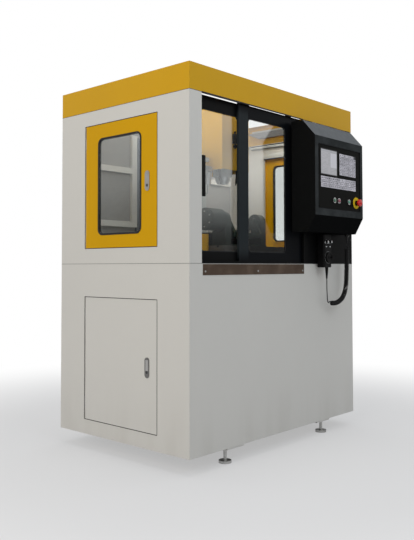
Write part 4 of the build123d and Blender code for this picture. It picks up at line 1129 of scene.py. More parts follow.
@dataclass
class Cabinet:
    """Sheet cabinet: panels, fascia, guard strip, vents, feet and their fasteners."""

    strip_screw: Pair = (-0.583, 0.887)
    strip_screw_pitch: float = 0.381
    seam_z: float = 0.923
    bead_proud: float = 0.0003
    wall_x: float = 0.6832
    channel_depth: float = 0.022
    channel_z: Pair = (1.736, 1.774)
    slot: Pair = (0.09, 0.006)
    slot_pitch: float = 0.018
    slot_rows: int = 8
    first_slot_z: float = 0.436
    blade_lean: float = 0.004
    blade_wall: float = 0.0012
    blade_drop: float = 0.001
    sheet: float = 0.002

    def build(self) -> None:
        """Makes the screws, beads, stiffeners, a dark strip of painted shade on the rear wall, stops and
        louvre blades.
        """
        origin = (self.strip_screw[0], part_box("sill_guard_strip")[0][1], self.strip_screw[1])
        step = (self.strip_screw_pitch, 0.0, 0.0)
        guard_strip = Scatter(Pattern.GRID, 3, origin, 3, step, axis=Y_AXIS, twist=1.0)
        guard_strip.screws("strip_screws", 0.0045, 0.0022, FRONT)
        low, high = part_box("upper_left_panel")[0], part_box("upper_right_panel")[1]
        self.bead("seam_bead", low, high, self.seam_z, 0.0007)
        self.stiffeners()
        # a dark strip on the rear wall beside the post stands in for shade there: painted shade
        duct = Fitting("rear_shade_strip").block((-0.174, 0.53, 0.97), (-0.134, 0.5485, 1.65), 0.002)
        duct.block((-0.176, 0.527, 0.965), (-0.132, 0.5305, 1.655), 0.0012).mount(REAR_SHADE_PAINT)
        self.door_stops()
        self.fascia_seal_and_shadow()
        self.louvres("side_louvres", "lower_right_panel", 0, -0.024)
        self.louvres("rear_louvres", "rear_panel", 1, 0.49)

    def bead(self, name: str, low: Point, high: Point, level: float, half: float) -> None:
        """Lays a black sealing bead round the cabinet.

        Args:
            name: the bead's name.
            low: the lowest corner of what it goes round.
            high: the highest corner.
            level: the height of its middle.
            half: half its thickness.
        """
        near = (low[0] - self.bead_proud, low[1] - self.bead_proud, level - half)
        far = (high[0] + self.bead_proud, high[1], level + half)
        Fitting(name).frame(near, far, 0.0012, 0.002, 2, 2).mount(RUBBER)

    def strips(self, name: str, side: float, along: Pair, edge: float, rows: Sequence[Any]) -> None:
        """Lays strips along one side of the cabinet, inside.

        Args:
            name: the side's name.
            side: -1 for the left side, 1 for the right one.
            along: where they start and end.
            edge: how far their edges are rounded.
            rows: each strip's name, distances from the middle, heights and finish.
        """
        for part, near, far, low, high, finish in rows:
            ends = sorted((side * near, side * far))
            strip = Fitting(f"{name}_{part}")
            strip.block((ends[0], along[0], low), (ends[1], along[1], high), edge).mount(finish)

    def stiffeners(self) -> None:
        """Runs a folded channel, coloured grey as painted shade, and a pale rail along each side of the
        fascia, with two dark strips of painted shade above and below the rail.
        """
        wall, (bottom, top) = self.wall_x, self.channel_z
        rows = (
            ("flange", 0.6802, wall, 1.7745, 1.789, LINER),
            ("rail", 0.6612, wall, 1.67, 1.683, LINER),
            # the two dark strips above and below the rail are painted shade
            ("upper_shade_line", 0.6652, wall, 1.684, 1.6915, BLACK),
            ("lower_shade_line", 0.6712, wall, 1.667, 1.6697, SHADED_CHANNEL),
        )
        for name, side in SIDES:
            ends = ((0.38, top), (0.295, bottom), (-0.34, bottom), (-0.34, top))
            # the channel is coloured grey as painted shade
            channel = Fitting(name + "_channel").prism(
                [(side * wall, y, z) for y, z in ends], (-side * self.channel_depth, 0.0, 0.0)
            )
            channel.mount(SHADED_CHANNEL)
            self.strips(name, side, (-0.34, 0.36), 0.0008, rows)

    def door_stops(self) -> None:
        """Puts a folded stop with a seal over the top edge of each upper side door, inside."""
        rows = (
            ("stop", 0.6595, 0.6655, 1.5975, 1.6255, LINER),
            ("stop_web", 0.6655, self.wall_x, 1.6235, 1.6255, LINER),
            ("stop_seal", 0.66, 0.665, 1.5915, 1.5978, RUBBER),
        )
        for name, side in SIDES:
            self.strips(name, side, (-0.176, 0.248), 0.0006, rows)

    def fascia_seal_and_shadow(self) -> None:
        """Lays the black seal under the fascia, and over the doors a thicker black strip that stands in for
        the fold's shadow: painted shadow.
        """
        low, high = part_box("roof_fascia")
        self.bead("fascia_bead", low, high, low[2], 0.0009)
        front, under = low[1], low[2]
        # over the doors, a black strip is painted shadow under the fascia's fold
        strip = Fitting("door_head_shadow_line")
        for left, right, drop in ((-0.604, -0.332, 0.0055), (-0.3325, 0.192, 0.0028)):
            strip.block((left, front - 0.0005, under - drop), (right, front + 0.004, under + 0.003), 0.0006)
        strip.mount(RUBBER)

    def louvres(self, name: str, node: str, normal: int, middle: float) -> None:
        """Puts a leaning blade behind each cooling slot of a panel.

        Args:
            name: the new piece's name.
            node: the panel with the slots.
            normal: the axis that the panel faces along, 0 or 1.
            middle: where the middle between its two columns of slots lies.
        """
        (length, width), foot = self.slot, -self.blade_drop
        ends = [(0.0, foot), (0.0, foot - self.blade_wall)]
        ends += [(-self.blade_lean, width), (-self.blade_lean, width + self.blade_wall)]
        outline = [self.facing(normal, out, -length / 2, up) for out, up in ends]
        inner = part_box(node)[1][normal] - self.sheet
        origin = self.facing(normal, inner, middle - length, self.first_slot_z - width / 2)
        step, row_step = self.facing(normal, 0.0, 2 * length, 0.0), (0.0, 0.0, self.slot_pitch)
        blades = Scatter(Pattern.GRID, 2 * self.slot_rows, origin, 2, step, row_step)
        blades.copy(Fitting(name).prism(outline, self.facing(normal, 0.0, length, 0.0)), BLACK)

    def facing(self, normal: int, out: float, across: float, up: float) -> Point:
        """Returns a point from its distance along the axis, 0 or 1, that a panel faces along."""
        return (across, out, up) if normal else (out, across, up)

    def dress(self) -> None:
        """Finishes the cabinet's CAD nodes."""
        dress(CREAM, "base_frame", "lower_front_panel", "lower_left_panel", "lower_right_panel")
        dress(CREAM, "upper_left_panel", "upper_right_panel")
        dress(REAR_CREAM, "rear_panel")
        dress(ZINC, "levelling_feet")
        dress(YELLOW, "roof_fascia")
        dress(BLACK, "front_cover_plate", "door_sill_track")
        dress(STAINLESS, "sill_guard_strip")
        dress(LINER, "splash_tray", "coolant_tank", "electrical_cabinet")


@dataclass
class SlidingDoors:
    """The two telescopic doors in front, with their panes, seals and pull."""

    bead_wall: float = 0.004
    bead_corner: float = 0.022
    bead_margin: float = 0.0002

    def build(self) -> None:
        """Makes the bead round each window and the moulded grip on the pull."""
        margin = self.bead_margin
        for side in ("right", "left"):
            low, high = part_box(side + "_door_window")
            near = (low[0] - margin, low[1] - 0.0022, low[2] - margin)
            far = (high[0] + margin, low[1] - 0.0004, high[2] + margin)
            bead = Fitting(side + "_window_bead").frame(near, far, self.bead_wall, self.bead_corner, 1)
            bead.mount(RUBBER, side + "_door")
        low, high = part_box("left_door_handle")
        near = (low[0] - 0.0005, low[1] - 0.0012, low[2] - 0.012)
        far = (high[0] + 0.0085, low[1] + 0.0075, high[2] + 0.004)
        Fitting("handle_grip").block(near, far, 0.0025).mount(PENDANT_BLACK, "left_door")

    def dress(self) -> None:
        """Finishes the doors' CAD nodes."""
        dress(SLATE, "right_sliding_door")
        dress(BLACK, "left_sliding_door")
        dress(FRONT_PANE, "right_door_window", "left_door_window")
        dress(BLACK_PLASTIC, "left_door_handle")


@dataclass
class SideDoors:
    """The hinged side doors with their flush latches and seals."""

    lock_drop: float = 0.0214
    seal_wall: float = 0.003
    seal_gap: float = 0.0004
    hinge_gap: float = 0.0058
    seal_proud: float = 0.0005
    wall_x: float = 0.685

    def build(self) -> None:
        """Lays a dark seal round each door, farther off behind its hinge pins, where the open leaf goes."""
        reach = self.seal_wall + self.seal_gap
        for node, side in (("upper_left_door", -1.0), ("upper_right_door", 1.0), ("lower_left_door", -1.0)):
            low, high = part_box(node)
            ends = sorted((side * (self.wall_x + self.seal_proud), side * (self.wall_x - 0.001)))
            near = (ends[0], low[1] - reach, low[2] - reach)
            far = (ends[1], high[1] + self.hinge_gap + self.seal_wall, high[2] + reach)
            Fitting(node + "_seal").frame(near, far, self.seal_wall, 0.002, 0, 2).mount(RUBBER)

    def dress(self) -> None:
        """Finishes the side doors' CAD nodes."""
        dress(CREAM, "lower_left_door")
        dress(ZINC, "door_hinge_pins")
        for side, _ in SIDES:
            dress(DOOR_YELLOW, f"upper_{side}_door")
            dress(RUBBER, f"upper_{side}_gasket")
            dress(SIDE_PANE, f"upper_{side}_window")
        for place, like in (("upper_left", SATIN), ("upper_right", SATIN), ("lower_left", SATIN_DARK)):
            latch = place + "_latch"
            low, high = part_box(latch)
            lock = ((low[1] + high[1]) / 2, (low[2] + high[2]) / 2 - self.lock_drop)
            dress(LatchPlating(latch, like.colour, like.satin, lock=lock), latch)
            dress(SATIN, place + "_paddle")


PUSH_BUTTONS = (
    ("start", (0.04, 0.16, 0.09), "green_plastic"),
    ("stop", (0.24, 0.03, 0.06), "red_plastic"),
    ("program", (0.07, 0.26, 0.18), "white_plastic"),
)


@dataclass
class ControlBox:
    """The operator's box: panel, display, key fields and push buttons."""

    face: float = -0.517
    button_z: float = 1.255
    button_x: tuple[float, ...] = (0.266, 0.309, 0.41)
    button_y: Pair = (-0.526, -0.5208)
    stop_x: float = 0.49
    screw_x: Pair = (0.125, 0.526)
    screw_z: Pair = (1.217, 1.53)
    key_gap: float = 0.0022
    key_height: float = 0.0011
    bezel_edge: float = 0.004

    def build(self) -> None:
        """Makes the lenses, emergency stop, keys, bezels and panel screws."""
        self.lenses()
        self.emergency_stop()
        self.keys()
        self.bezels()
        (left, right), (low, high) = self.screw_x, self.screw_z
        origin, across, up = (left, self.face, low), (right - left, 0.0, 0.0), (0.0, 0.0, high - low)
        corners = Scatter(Pattern.GRID, 4, origin, 2, across, up, axis=Y_AXIS, twist=1.0, seed=3)
        corners.screws("panel_screws", 0.0034, 0.0018, FRONT, BLACK)

    def lenses(self) -> None:
        """Makes the lenses of the push buttons."""
        front, back = self.button_y
        shares = ((0.0099, 0.0), (0.0099, 0.45), (0.0094, 0.72), (0.008, 0.9), (0.005, 0.98), (0.0, 1.0))
        profile = [(radius, (back - front) * share) for radius, share in shares]
        for x, (name, colour, slot) in zip(self.button_x, PUSH_BUTTONS):
            finish = Lens(name + "_lens", colour, (x, self.button_z), slot=slot)
            lens = Fitting(finish.label).turn(profile, (x, back, self.button_z), FRONT, 32)
            lens.mount(finish, name + "_push", name + "_button")

    def emergency_stop(self) -> None:
        """Makes the mushroom head and its moulded ring of grips."""
        low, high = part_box("e_stop_button")
        profile = [(0.0096, 0.0), (0.0096, 0.0168), (0.0182, 0.0168), (0.0196, 0.0152), (0.0199, 0.0125)]
        profile += [(0.0196, 0.0085), (0.0176, 0.004), (0.0135, 0.0012), (0.0075, 0.0002), (0.0, 0.0)]
        reach = high[1] - low[1]
        profile[1:] = [(radius, reach - short) for radius, short in profile[1:]]
        grips = {row: (18, 0.03) for row in (3, 4, 5)}
        head = Fitting("e_stop_head").turn(profile, (self.stop_x, high[1], self.button_z), FRONT, 72, grips)
        head.mount(RED_PLASTIC, "e_stop_push", "e_stop_button")

    def keys(self) -> None:
        """Makes the caps of the two key fields."""
        for name, corner, size, (columns, rows), dark_from in (
            ("key_caps", (0.32, 1.393), (0.166, 0.115), (8, 7), (6.9, 5.9)),
            ("mode_keys", (0.14, 1.317), (0.346, 0.058), (19, 3), (99.0, 99.0)),
        ):
            wide, tall = size[0] / columns, size[1] / rows
            side, end = (wide - self.key_gap) / 2, (tall - self.key_gap) / 2
            cap = Fitting(name).block((-side, -self.key_height, -end), (side, 0.0, end), 0.0004, 1)
            origin = (corner[0] + wide / 2, self.face - 0.0007, corner[1] + tall / 2)
            caps = Scatter(Pattern.GRID, columns * rows, origin, columns, (wide, 0.0, 0.0), (0.0, 0.0, tall))
            spot = (corner[0], 0.0, corner[1])
            caps.copy(cap, KeyFilm(name, spot, (wide, tall), dark_from, slot="key_film"))

    def bezels(self) -> None:
        """Makes the thin raised frames of the display and of the panel's edge."""
        low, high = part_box("display_screen")
        edge = self.bezel_edge
        near = (low[0] - edge, self.face - 0.002, low[2] - edge)
        far = (high[0] + edge, self.face + 0.0004, high[2] + edge)
        Fitting("display_bezel").frame(near, far, 0.0048, 0.004, 1).mount(BLACK_PLASTIC)
        near, far = (0.1154, self.face - 0.0024, 1.2074), (0.5356, self.face + 0.0004, 1.5396)
        Fitting("panel_edge").frame(near, far, 0.0022, 0.003, 1).mount(SLATE)

    def dress(self) -> None:
        """Finishes the box's CAD nodes."""
        low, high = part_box("display_screen")
        rings = tuple((x, self.button_z) for x in self.button_x)
        stop = (self.stop_x, self.button_z)
        dress(BOX_BLACK, "control_box")
        dress(PanelPaint("panel", (0.0055, 0.0057, 0.005), self.face, rings, stop), "operator_panel")
        corner = (low[0], 0.0, low[2])
        dress(Display("display", corner, high[0] - low[0], high[2] - low[2]), "display_screen")
        dress(MouldedPlastic("key_field", (0.1, 0.1, 0.11), 0.5, 0.3), "keypad")


@dataclass
class Pendant:
    """The hand-held pendant: housing, handwheel, selector knobs, dial marks."""

    centre_x: float = 0.336
    wheel_z: float = 0.957
    knob_z: float = 1.041
    knob_spread: float = 0.018
    face: float = -0.434

    def build(self) -> None:
        """Makes the handwheel, the knobs, the marks and the label stripe."""
        self.handwheel()
        self.knob("axis", self.centre_x - self.knob_spread)
        self.knob("scale", self.centre_x + self.knob_spread)
        self.marks()
        stripe = Fitting("pendant_stripe")
        for left, right, low, high in (
            (-0.031, 0.029, 1.0325, 1.0435),
            (-0.022, -0.012, 1.0125, 1.0175),
            (0.014, 0.024, 1.0125, 1.0175),
        ):
            near = (self.centre_x + left, self.face - 0.0006, low)
            stripe.block(near, (self.centre_x + right, self.face + 0.0002, high), 0.0002)
        stripe.mount(WHITE_PLASTIC)

    def handwheel(self) -> None:
        """Makes the dished and knurled handwheel with its crank knob."""
        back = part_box("pendant_handwheel")[1][1]
        profile = [(0.0286, 0.0), (0.0289, 0.001), (0.0289, 0.0082), (0.0276, 0.0098), (0.0235, 0.0098)]
        profile += [(0.0222, 0.0078), (0.0095, 0.0072), (0.0082, 0.0095), (0.0, 0.0098)]
        grips = {row: (36, 0.03) for row in (1, 2)}
        centre = (self.centre_x, back, self.wheel_z)
        wheel = Fitting("handwheel_disc").turn(profile, centre, FRONT, 144, grips)
        profile = [(0.0032, 0.0), (0.0032, 0.003), (0.005, 0.0036), (0.006, 0.007), (0.0052, 0.0108)]
        profile += [(0.003, 0.0122), (0.0, 0.0125)]
        wheel.turn(profile, (self.centre_x + 0.017, back - 0.0074, self.wheel_z), FRONT, 24)
        wheel.mount(PENDANT_BLACK, "handwheel", "pendant_handwheel")

    def knob(self, name: str, x: float) -> None:
        """Makes one fluted selector knob with a pointer line.

        Args:
            name: the first word of its node's and its body's name.
            x: where its axis lies.
        """
        node, body, z = name + "_knob", name + "_selector", self.knob_z
        low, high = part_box(node)
        profile = [(0.0088, 0.0), (0.0088, 0.0022), (0.0074, 0.0032), (0.0072, 0.0112), (0.0062, 0.0126)]
        flutes = {row: (9, 0.09) for row in (2, 3, 4)}
        knob = Fitting(node + "_grip").turn([*profile, (0.0, 0.0128)], (x, high[1], z), FRONT, 54, flutes)
        knob.mount(PENDANT_BLACK, body, node)
        profile = [(0.0058, 0.0), (0.0058, 0.0011), (0.0054, 0.0013), (0.0, 0.0013)]
        cap = Fitting(node + "_cap").turn(profile, (x, low[1] + 0.0014, z), FRONT, 24)
        cap.mount(WHITE_PLASTIC, body)
        near, far = (x - 0.0007, low[1] + 0.00003, z + 0.0004), (x + 0.0007, low[1] + 0.0006, z + 0.0042)
        Fitting(node + "_pointer").block(near, far, 0.0001).mount(RED_PLASTIC, body)

    def marks(self) -> None:
        """Puts rings of scale marks round the handwheel and the knobs."""
        for name, x, z, count, radius, wide, tall in (
            ("handwheel_marks", 0.0, self.wheel_z, 50, 0.0318, 0.0003, 0.0014),
            ("axis_marks", -self.knob_spread, self.knob_z, 10, 0.0112, 0.0004, 0.001),
            ("scale_marks", self.knob_spread, self.knob_z, 10, 0.0112, 0.0004, 0.001),
        ):
            centre = (self.centre_x + x, self.face, z)
            ring = Scatter(Pattern.RING, count, centre, step=UP, radius=radius, axis=Y_AXIS)
            mark = Fitting(name).block((-wide, -0.0003, -tall), (wide, 0.0001, tall), 0.00005, 1)
            ring.copy(mark, WHITE_PLASTIC)

    def dress(self) -> None:
        """Finishes the housing."""
        dress(PENDANT_BLACK, "pendant_housing")


@dataclass
class Machine:
    """The five-axis machine inside, seen through the windows."""

    first_bolt: Point = (0.18, 0.25, 0.94)
    bolt_pitch: float = 0.07
    bolt_radius: float = 0.008
    bolt_height: float = 0.007
    cap_y: float = -0.094
    cap_z: float = 1.15
    cap_height: float = 0.006
    carousel: Point = (-0.25, 0.026, 1.33)
    carousel_radius: float = 0.085
    nozzle_start: Point = (0.072, -0.012, 1.458)
    nozzle_links: int = 7
    link_pitch: float = 0.0115

    def build(self) -> None:
        """Makes the bolts, tools, nozzles, valve, connection box and guard."""
        x, y, z = self.first_bolt
        for name, side in SIDES:
            bolts = Scatter(Pattern.GRID, 4, (side * x, y, z), 4, (0.0, self.bolt_pitch, 0.0), twist=1.0)
            bolts.screws(name + "_foot_bolts", self.bolt_radius, self.bolt_height, UP)
        self.trunnion_caps()
        self.tools()
        for name, side in SIDES:
            self.nozzle(name + "_nozzle", side)
        self.air_valve()
        self.table_fittings()

    def trunnion_caps(self) -> None:
        """Puts a bolted cap on each bearing support of the trunnion."""
        for name, x, way, radius in (("drive_cap", -0.275, -1.0, 0.05), ("bearing_cap", 0.17, 1.0, 0.036)):
            facing = (way, 0.0, 0.0)
            profile = [(radius, 0.0), (radius, 0.004), (radius - 0.002, self.cap_height)]
            profile += [(radius * 0.45, self.cap_height), (radius * 0.42, 0.0042), (0.0, 0.0042)]
            cap = Fitting(name).turn(profile, (x, self.cap_y, self.cap_z), facing, 48)
            cap.mount(DRIVE, "x_table")
            centre = (x + way * self.cap_height, self.cap_y, self.cap_z)
            ring = Scatter(Pattern.RING, 6, centre, step=UP, radius=radius * 0.78, axis=X_AXIS)
            ring.screws(name + "_screws", 0.0042, 0.003, facing, body="x_table")

    def tools(self) -> None:
        """Puts a cutter under each holder of the carousel."""
        ring = Scatter(Pattern.RING, 8, self.carousel, step=X_AXIS, radius=self.carousel_radius)
        profile = [(0.005, 0.002), (0.005, -0.02), (0.0042, -0.024), (0.0042, -0.042), (0.0, -0.044)]
        cutter = Fitting("carousel_tools").turn(profile, sides=12, lobes={2: (4, 0.2), 3: (4, 0.2)})
        ring.copy(cutter, GROUND, "carousel_rotor")

    def nozzle(self, name: str, side: float) -> None:
        """Puts a jointed coolant nozzle beside the spindle.

        Args:
            name: the nozzle's name.
            side: -1 for the left one, 1 for the right one.
        """
        hose = Fitting(name)
        x, y, z = self.nozzle_start
        spot = Vector((side * x, y, z))
        way = Vector((side * 0.1, -0.1, -1.0)).normalized()
        for _ in range(self.nozzle_links):
            hose.turn([(0.005, 0.0), (0.0078, 0.002), (0.0078, 0.009), (0.0055, 0.0125)], spot, way, 16)
            spot = spot + way * self.link_pitch
            way = (way + Vector((-side * 0.05, 0.02, 0.0))).normalized()
        hose.turn([(0.0068, 0.0), (0.006, 0.006), (0.003, 0.018), (0.0022, 0.024)], spot, way, 16)
        hose.mount(BLACK_PLASTIC, "z_head")

    def air_valve(self) -> None:
        """Puts the black air valve with its fittings on the front of the head cover."""
        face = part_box("head_cover")[0][1] + 0.0002
        valve = Fitting("air_valve")
        valve.block((-0.03, face - 0.016, 1.57), (-0.004, face, 1.622), 0.0015)
        valve.block((-0.022, face - 0.02, 1.548), (-0.008, face, 1.563), 0.001)
        top = [(0.004, 0.0), (0.004, 0.006), (0.0052, 0.0065), (0.0052, 0.014), (0.003, 0.015)]
        valve.turn(top, (-0.015, face - 0.008, 1.622), UP, 16)
        foot = [(0.0032, 0.0), (0.0032, 0.02), (0.0045, 0.021), (0.0045, 0.027)]
        valve.turn(foot, (-0.015, face - 0.01, 1.541), UP, 16)
        elbow = [(0.003, 0.0), (0.003, 0.012), (0.0048, 0.0125), (0.0048, 0.017)]
        valve.turn(elbow, (-0.004, face - 0.009, 1.605), (1.0, 0.0, 0.35), 16)
        valve.mount(BLACK_PLASTIC, "z_head")

    def table_fittings(self) -> None:
        """Puts the yellow connection box at the table's left end and the guard behind the trunnion."""
        (left, _, _), (right, rear, top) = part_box("table")
        box = Fitting("drive_box")
        box.block((left - 0.0145, -0.105, 0.985), (left - 0.0003, -0.03, 1.075), 0.003)
        box.block((left - 0.012, -0.1065, 0.997), (left - 0.003, -0.1048, 1.063), 0.0005)
        box.mount(YELLOW, "x_table")
        left, right, foot = left + 0.004, right - 0.004, top - 0.0002
        guard = Fitting("table_guard")
        guard.block((left, rear - 0.0125, foot), (right, rear - 0.0095, 1.088), 0.001)
        guard.block((left, rear - 0.012, foot), (right, rear - 0.001, top + 0.0025), 0.0008)
        guard.mount(BLACK, "x_table")

    def dress(self) -> None:
        """Finishes the machine's CAD nodes."""
        dress(ENAMEL, "machine_bed", "column", "saddle", "spindle_head")
        dress(TABLE_STEEL, "table")
        dress(DRIVE, "trunnion_stand", "tilting_cradle")
        dress(GROUND, "rotary_faceplate", "spindle", "tool_carousel")
        dress(YELLOW, "head_cover")


@dataclass
class PendantCord:
    """The pendant's cord: gland, tapered sleeve, curly run and straight tail, all one wire."""

    wire: float = 0.0052
    helix_radius: float = 0.0108
    pitch: float = 0.0068
    tightest: float = 0.0107
    start: Point = (0.522, -0.374, 0.923)
    lead: float = 0.026
    ease: float = 0.048
    overrun: float = 0.02
    straight_step: float = 0.002
    end_gap: float = 0.0015
    steepness: float = 1.4
    turn_steps: int = 20
    wire_sides: int = 8
    smooth_under: float = 60.0

    def route(self) -> tuple[list[Vector], list[Vector]]:
        """Reads off the route's points, as the source of the solids has them.

        Returns:
            The points of the curly run and those of the tail.
        """
        first = [(0, 65, 150), (0, 65, 80), (-3, 64, 0), (-4, 62, -80), (-7, 59, -140), (-35, 56, -190)]
        first += [(-85, 51, -214), (-125, 47, -215), (-156, 45, -210.5)]
        last = [(-173, 45.5, -207), (-176, 46, -186), (-179, 46, -150), (-180, 46, -110), (-180, 46, -80)]
        x, y, z = self.start
        curly, tail = (
            [Vector((x + across / 1000, y - out / 1000, z + up / 1000)) for across, out, up in run]
            for run in (first, last)
        )
        return curly, tail

    def centreline(self, points: Sequence[Vector]) -> list[Vector]:
        """Finds the route's own smooth line.

        Args:
            points: the route's control points.

        Returns:
            Points along its spline.
        """
        curve = bpy.data.curves.new("cord_route", "CURVE")
        curve.dimensions = "3D"
        spline = curve.splines.new("NURBS")
        spline.points.add(len(points) - 1)
        for slot, point in zip(spline.points, points):
            slot.co = (*point, 1.0)
        spline.order_u = 3
        spline.use_endpoint_u = True
        spline.resolution_u = 24
        holder = bpy.data.objects.new("cord_route", curve)
        bpy.context.scene.collection.objects.link(holder)
        evaluated = holder.evaluated_get(bpy.context.evaluated_depsgraph_get())
        line = bpy.data.meshes.new_from_object(evaluated)
        found = [corner.co.copy() for corner in line.vertices]
        bpy.data.objects.remove(holder)
        bpy.data.meshes.remove(line)
        return found

    def wound(self, line: Sequence[Vector], curly_length: float) -> list[Vector]:
        """Winds the wire round the first part of the route.

        Args:
            line: points along the route.
            curly_length: how far the curls reach.

        Returns:
            The wire's own path.
        """
        frames = self.frames(line)
        path = []
        travelled = angle = 0.0
        index = 0
        while travelled < frames[-1][0] - self.end_gap:
            while index < len(frames) - 2 and frames[index + 1][0] < travelled:
                index += 1
            here, after = frames[index], frames[index + 1]
            share = (travelled - here[0]) / max(after[0] - here[0], TINY)
            middle, side, forward = (first.lerp(last, share) for first, last in zip(here[1:], after[1:]))
            side.normalize()
            forward.normalize()
            swell = self.eased(travelled - self.lead) * self.eased(curly_length - travelled)
            radius = self.helix_radius * swell
            path.append(middle + (side * math.cos(angle) + forward.cross(side) * math.sin(angle)) * radius)
            if self.lead < travelled < curly_length:
                angle += TURN / self.turn_steps
                travelled += self.climb(radius) * TURN / self.turn_steps
            else:
                travelled += self.straight_step
        path.append(line[-1].copy())
        return path

    def climb(self, radius: float) -> float:
        """Returns how far the wire climbs per radian, so that a closing turn isn't bent too tightly."""
        wide = max(radius, self.tightest / 2)
        return max(self.pitch / TURN, self.steepness * math.sqrt(max(wide * (self.tightest - wide), 0.0)))

    def eased(self, distance: float) -> float:
        """Returns how far the helix has opened, this far from its end."""
        share = min(max(distance / self.ease, 0.0), 1.0)
        return share * share * (3 - 2 * share)

    def frames(self, line: Sequence[Vector]) -> list[tuple[float, Vector, Vector, Vector]]:
        """Carries a side vector along a line without twist.

        Args:
            line: the line's points.

        Returns:
            The distance, point, side and forward vector at each point.
        """
        found = []
        travelled = 0.0
        side = (line[1] - line[0]).normalized().orthogonal()
        for index, point in enumerate(line):
            before, after = line[max(index - 1, 0)], line[min(index + 1, len(line) - 1)]
            travelled += (point - before).length
            forward = (after - before).normalized()
            side = (side - forward * side.dot(forward)).normalized()
            found.append((travelled, point, side, forward))
        return found

    def tube(self, path: Sequence[Vector]) -> Fitting:
        """Wraps the wire's round section round its path.

        Args:
            path: the wire's middle line.

        Returns:
            The wire.
        """
        rings = []
        for _, point, side, forward in self.frames(path):
            ring = []
            for step in range(self.wire_sides):
                angle = TURN * step / self.wire_sides
                arm = side * math.cos(angle) + forward.cross(side) * math.sin(angle)
                ring.append(point + arm * (self.wire / 2))
            rings.append(ring)
        return Fitting("pendant_cord").loft(rings)

    def build(self) -> None:
        """Makes the gland, the sleeve and the wire."""
        curly, tail = self.route()
        line = self.centreline(curly + tail)
        curly_end = min(self.frames(line), key=lambda frame: (frame[1] - curly[-1]).length)[0]
        path = self.wound(line, curly_end + self.overrun)
        wire = ride(self.tube(path).place(CORD_BLACK, self.smooth_under), CORD_BLACK, "root")
        gland = self.gland(curly[0])
        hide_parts("cord_curly", "cord_straight")

    def gland(self, exit_point: Vector) -> bpy.types.Object:
        """Makes the gland's nut and dome, and the tapered sleeve below it.

        Args:
            exit_point: where the wire leaves it.

        Returns:
            The gland.
        """
        profile = [(0.0148, 0.0137), (0.0148, 0.009), (0.0142, 0.0082), (0.0128, 0.0082), (0.0126, 0.004)]
        profile += [(0.0105, 0.0008), (0.0085, 0.0), (0.0068, -0.001), (0.0044, -0.022), (0.0036, -0.022)]
        hexagon = {0: (6, 0.13), 1: (6, 0.13)}
        nut = Fitting("gland_nut").turn(profile, exit_point, UP, 36, hexagon)
        return nut.mount(BLACK_PLASTIC, "root", "cord_gland")


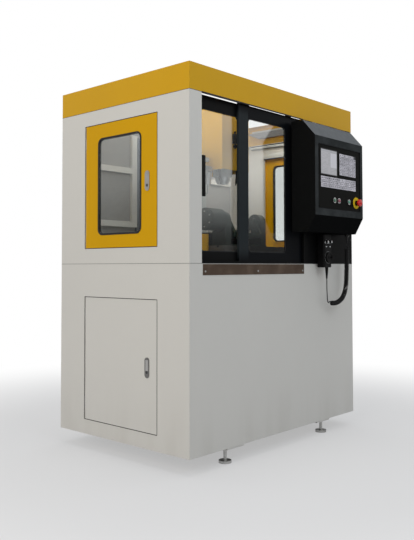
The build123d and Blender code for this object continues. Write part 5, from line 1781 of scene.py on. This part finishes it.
@dataclass
class Studio:
    """Floor, light and the photograph's camera."""

    position: Point = (-2.86932, -2.45493, 0.90807)
    yaw: float = 47.9248
    pitch: float = 2.10378
    roll: float = -0.086055
    lens: float = 46.178
    shift: Pair = (-0.00185, -0.05326)
    sky: float = 0.58
    horizon: float = 0.92
    floor_half: float = 9.0

    def build(self) -> None:
        """Makes the stage, the lamps and the camera."""
        half = self.floor_half
        corners = [(-half, -half, 0.0), (half, -half, 0.0), (half, half, 0.0), (-half, half, 0.0)]
        Fitting("floor").prism(corners, (0.0, 0.0, -0.02)).place(StudioFloor("floor"))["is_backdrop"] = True
        self.sky_light()
        self.lamps()
        self.camera()
        bpy.context.scene.view_settings.view_transform = "Standard"

    def sky_light(self) -> None:
        """Lights evenly from all round, shows white where the sky is seen, and mirrors a darker horizon."""
        world = bpy.data.worlds.new("sky")
        bpy.context.scene.world = world
        world.use_nodes = True
        shown = seen()
        rise = component(Expr("ShaderNodeTexCoord", output="Generated"), 2).rise(0.03, 0.14)
        mirrored = ray("Glossy") * (1.0 - rise) * self.horizon
        tone = blend(shown, (0.925, 0.96, 1.0), (1.0, 1.0, 1.0))
        strength = shown * (1.0 - self.sky) + self.sky - mirrored
        sky = Expr("ShaderNodeBackground", {}, {"Color": tone, "Strength": strength})
        Graph(world.node_tree).add(Expr("ShaderNodeOutputWorld", {}, {"Surface": sky}))

    def lamps(self) -> None:
        """Hangs the key lamp on the left, weaker ones above and in front, and two inside the cabinet."""
        middle = (0.0, 0.0, 0.9)
        for name, place, target, size, power, colour in (
            ("key", (-5.0, -0.6, 3.0), middle, 3.0, 90.0, (1.0, 0.93, 0.82)),
            ("roof", (0.0, 0.0, 4.6), middle, 2.4, 70.0, (1.0, 0.99, 0.97)),
            ("front", (-0.4, -3.6, 3.7), middle, 2.0, 30.0, (0.84, 0.93, 1.0)),
            ("inside", (0.42, -0.04, 1.78), (0.1, 0.05, 0.9), 0.36, 3.3, (1.0, 0.99, 0.96)),
            ("bounce", (-0.5, -0.02, 1.7), (-0.1, 0.1, 1.6), 0.25, 1.0, (1.0, 0.97, 0.9)),
        ):
            lamp = bpy.data.lights.new(name, "AREA")
            lamp.size = size
            lamp.energy = power
            lamp.color = colour
            holder = bpy.data.objects.new(name, lamp)
            holder.location = place
            holder.visible_camera = False
            holder.visible_glossy = False
            aim = Vector(target) - Vector(place)
            holder.rotation_euler = aim.to_track_quat("-Z", "Y").to_euler()
            bpy.context.scene.collection.objects.link(holder)

    def camera(self) -> None:
        """Puts the camera where the photograph was taken."""
        yaw, pitch, roll = (math.radians(angle) for angle in (self.yaw, self.pitch, self.roll))
        ahead = Vector((math.cos(pitch) * math.sin(yaw), math.cos(pitch) * math.cos(yaw), math.sin(pitch)))
        right = ahead.cross(Vector(UP)).normalized()
        above = right.cross(ahead)
        rolled_right = right * math.cos(roll) + above * math.sin(roll)
        rolled_up = above * math.cos(roll) - right * math.sin(roll)
        turned = Matrix((rolled_right, rolled_up, -ahead)).transposed()
        lens = bpy.data.cameras.new("photograph")
        lens.lens = self.lens
        lens.sensor_width = 36.0
        lens.shift_x, lens.shift_y = self.shift
        holder = bpy.data.objects.new("photograph", lens)
        holder.matrix_world = Matrix.Translation(self.position) @ turned.to_4x4()
        bpy.context.scene.collection.objects.link(holder)
        bpy.context.scene.camera = holder


def main() -> None:
    """Loads the frame, builds and dresses each sub-assembly, then builds the cord and the studio."""
    logging.basicConfig(level=logging.INFO, format="%(message)s")
    Frame.open()
    for assembly in (Cabinet(), SlidingDoors(), SideDoors(), ControlBox(), Pendant(), Machine()):
        assembly.build()
        assembly.dress()
        LOG.info("%s is done", type(assembly).__name__)
    PendantCord().build()
    Studio().build()


if __name__ == "__main__":
    main()
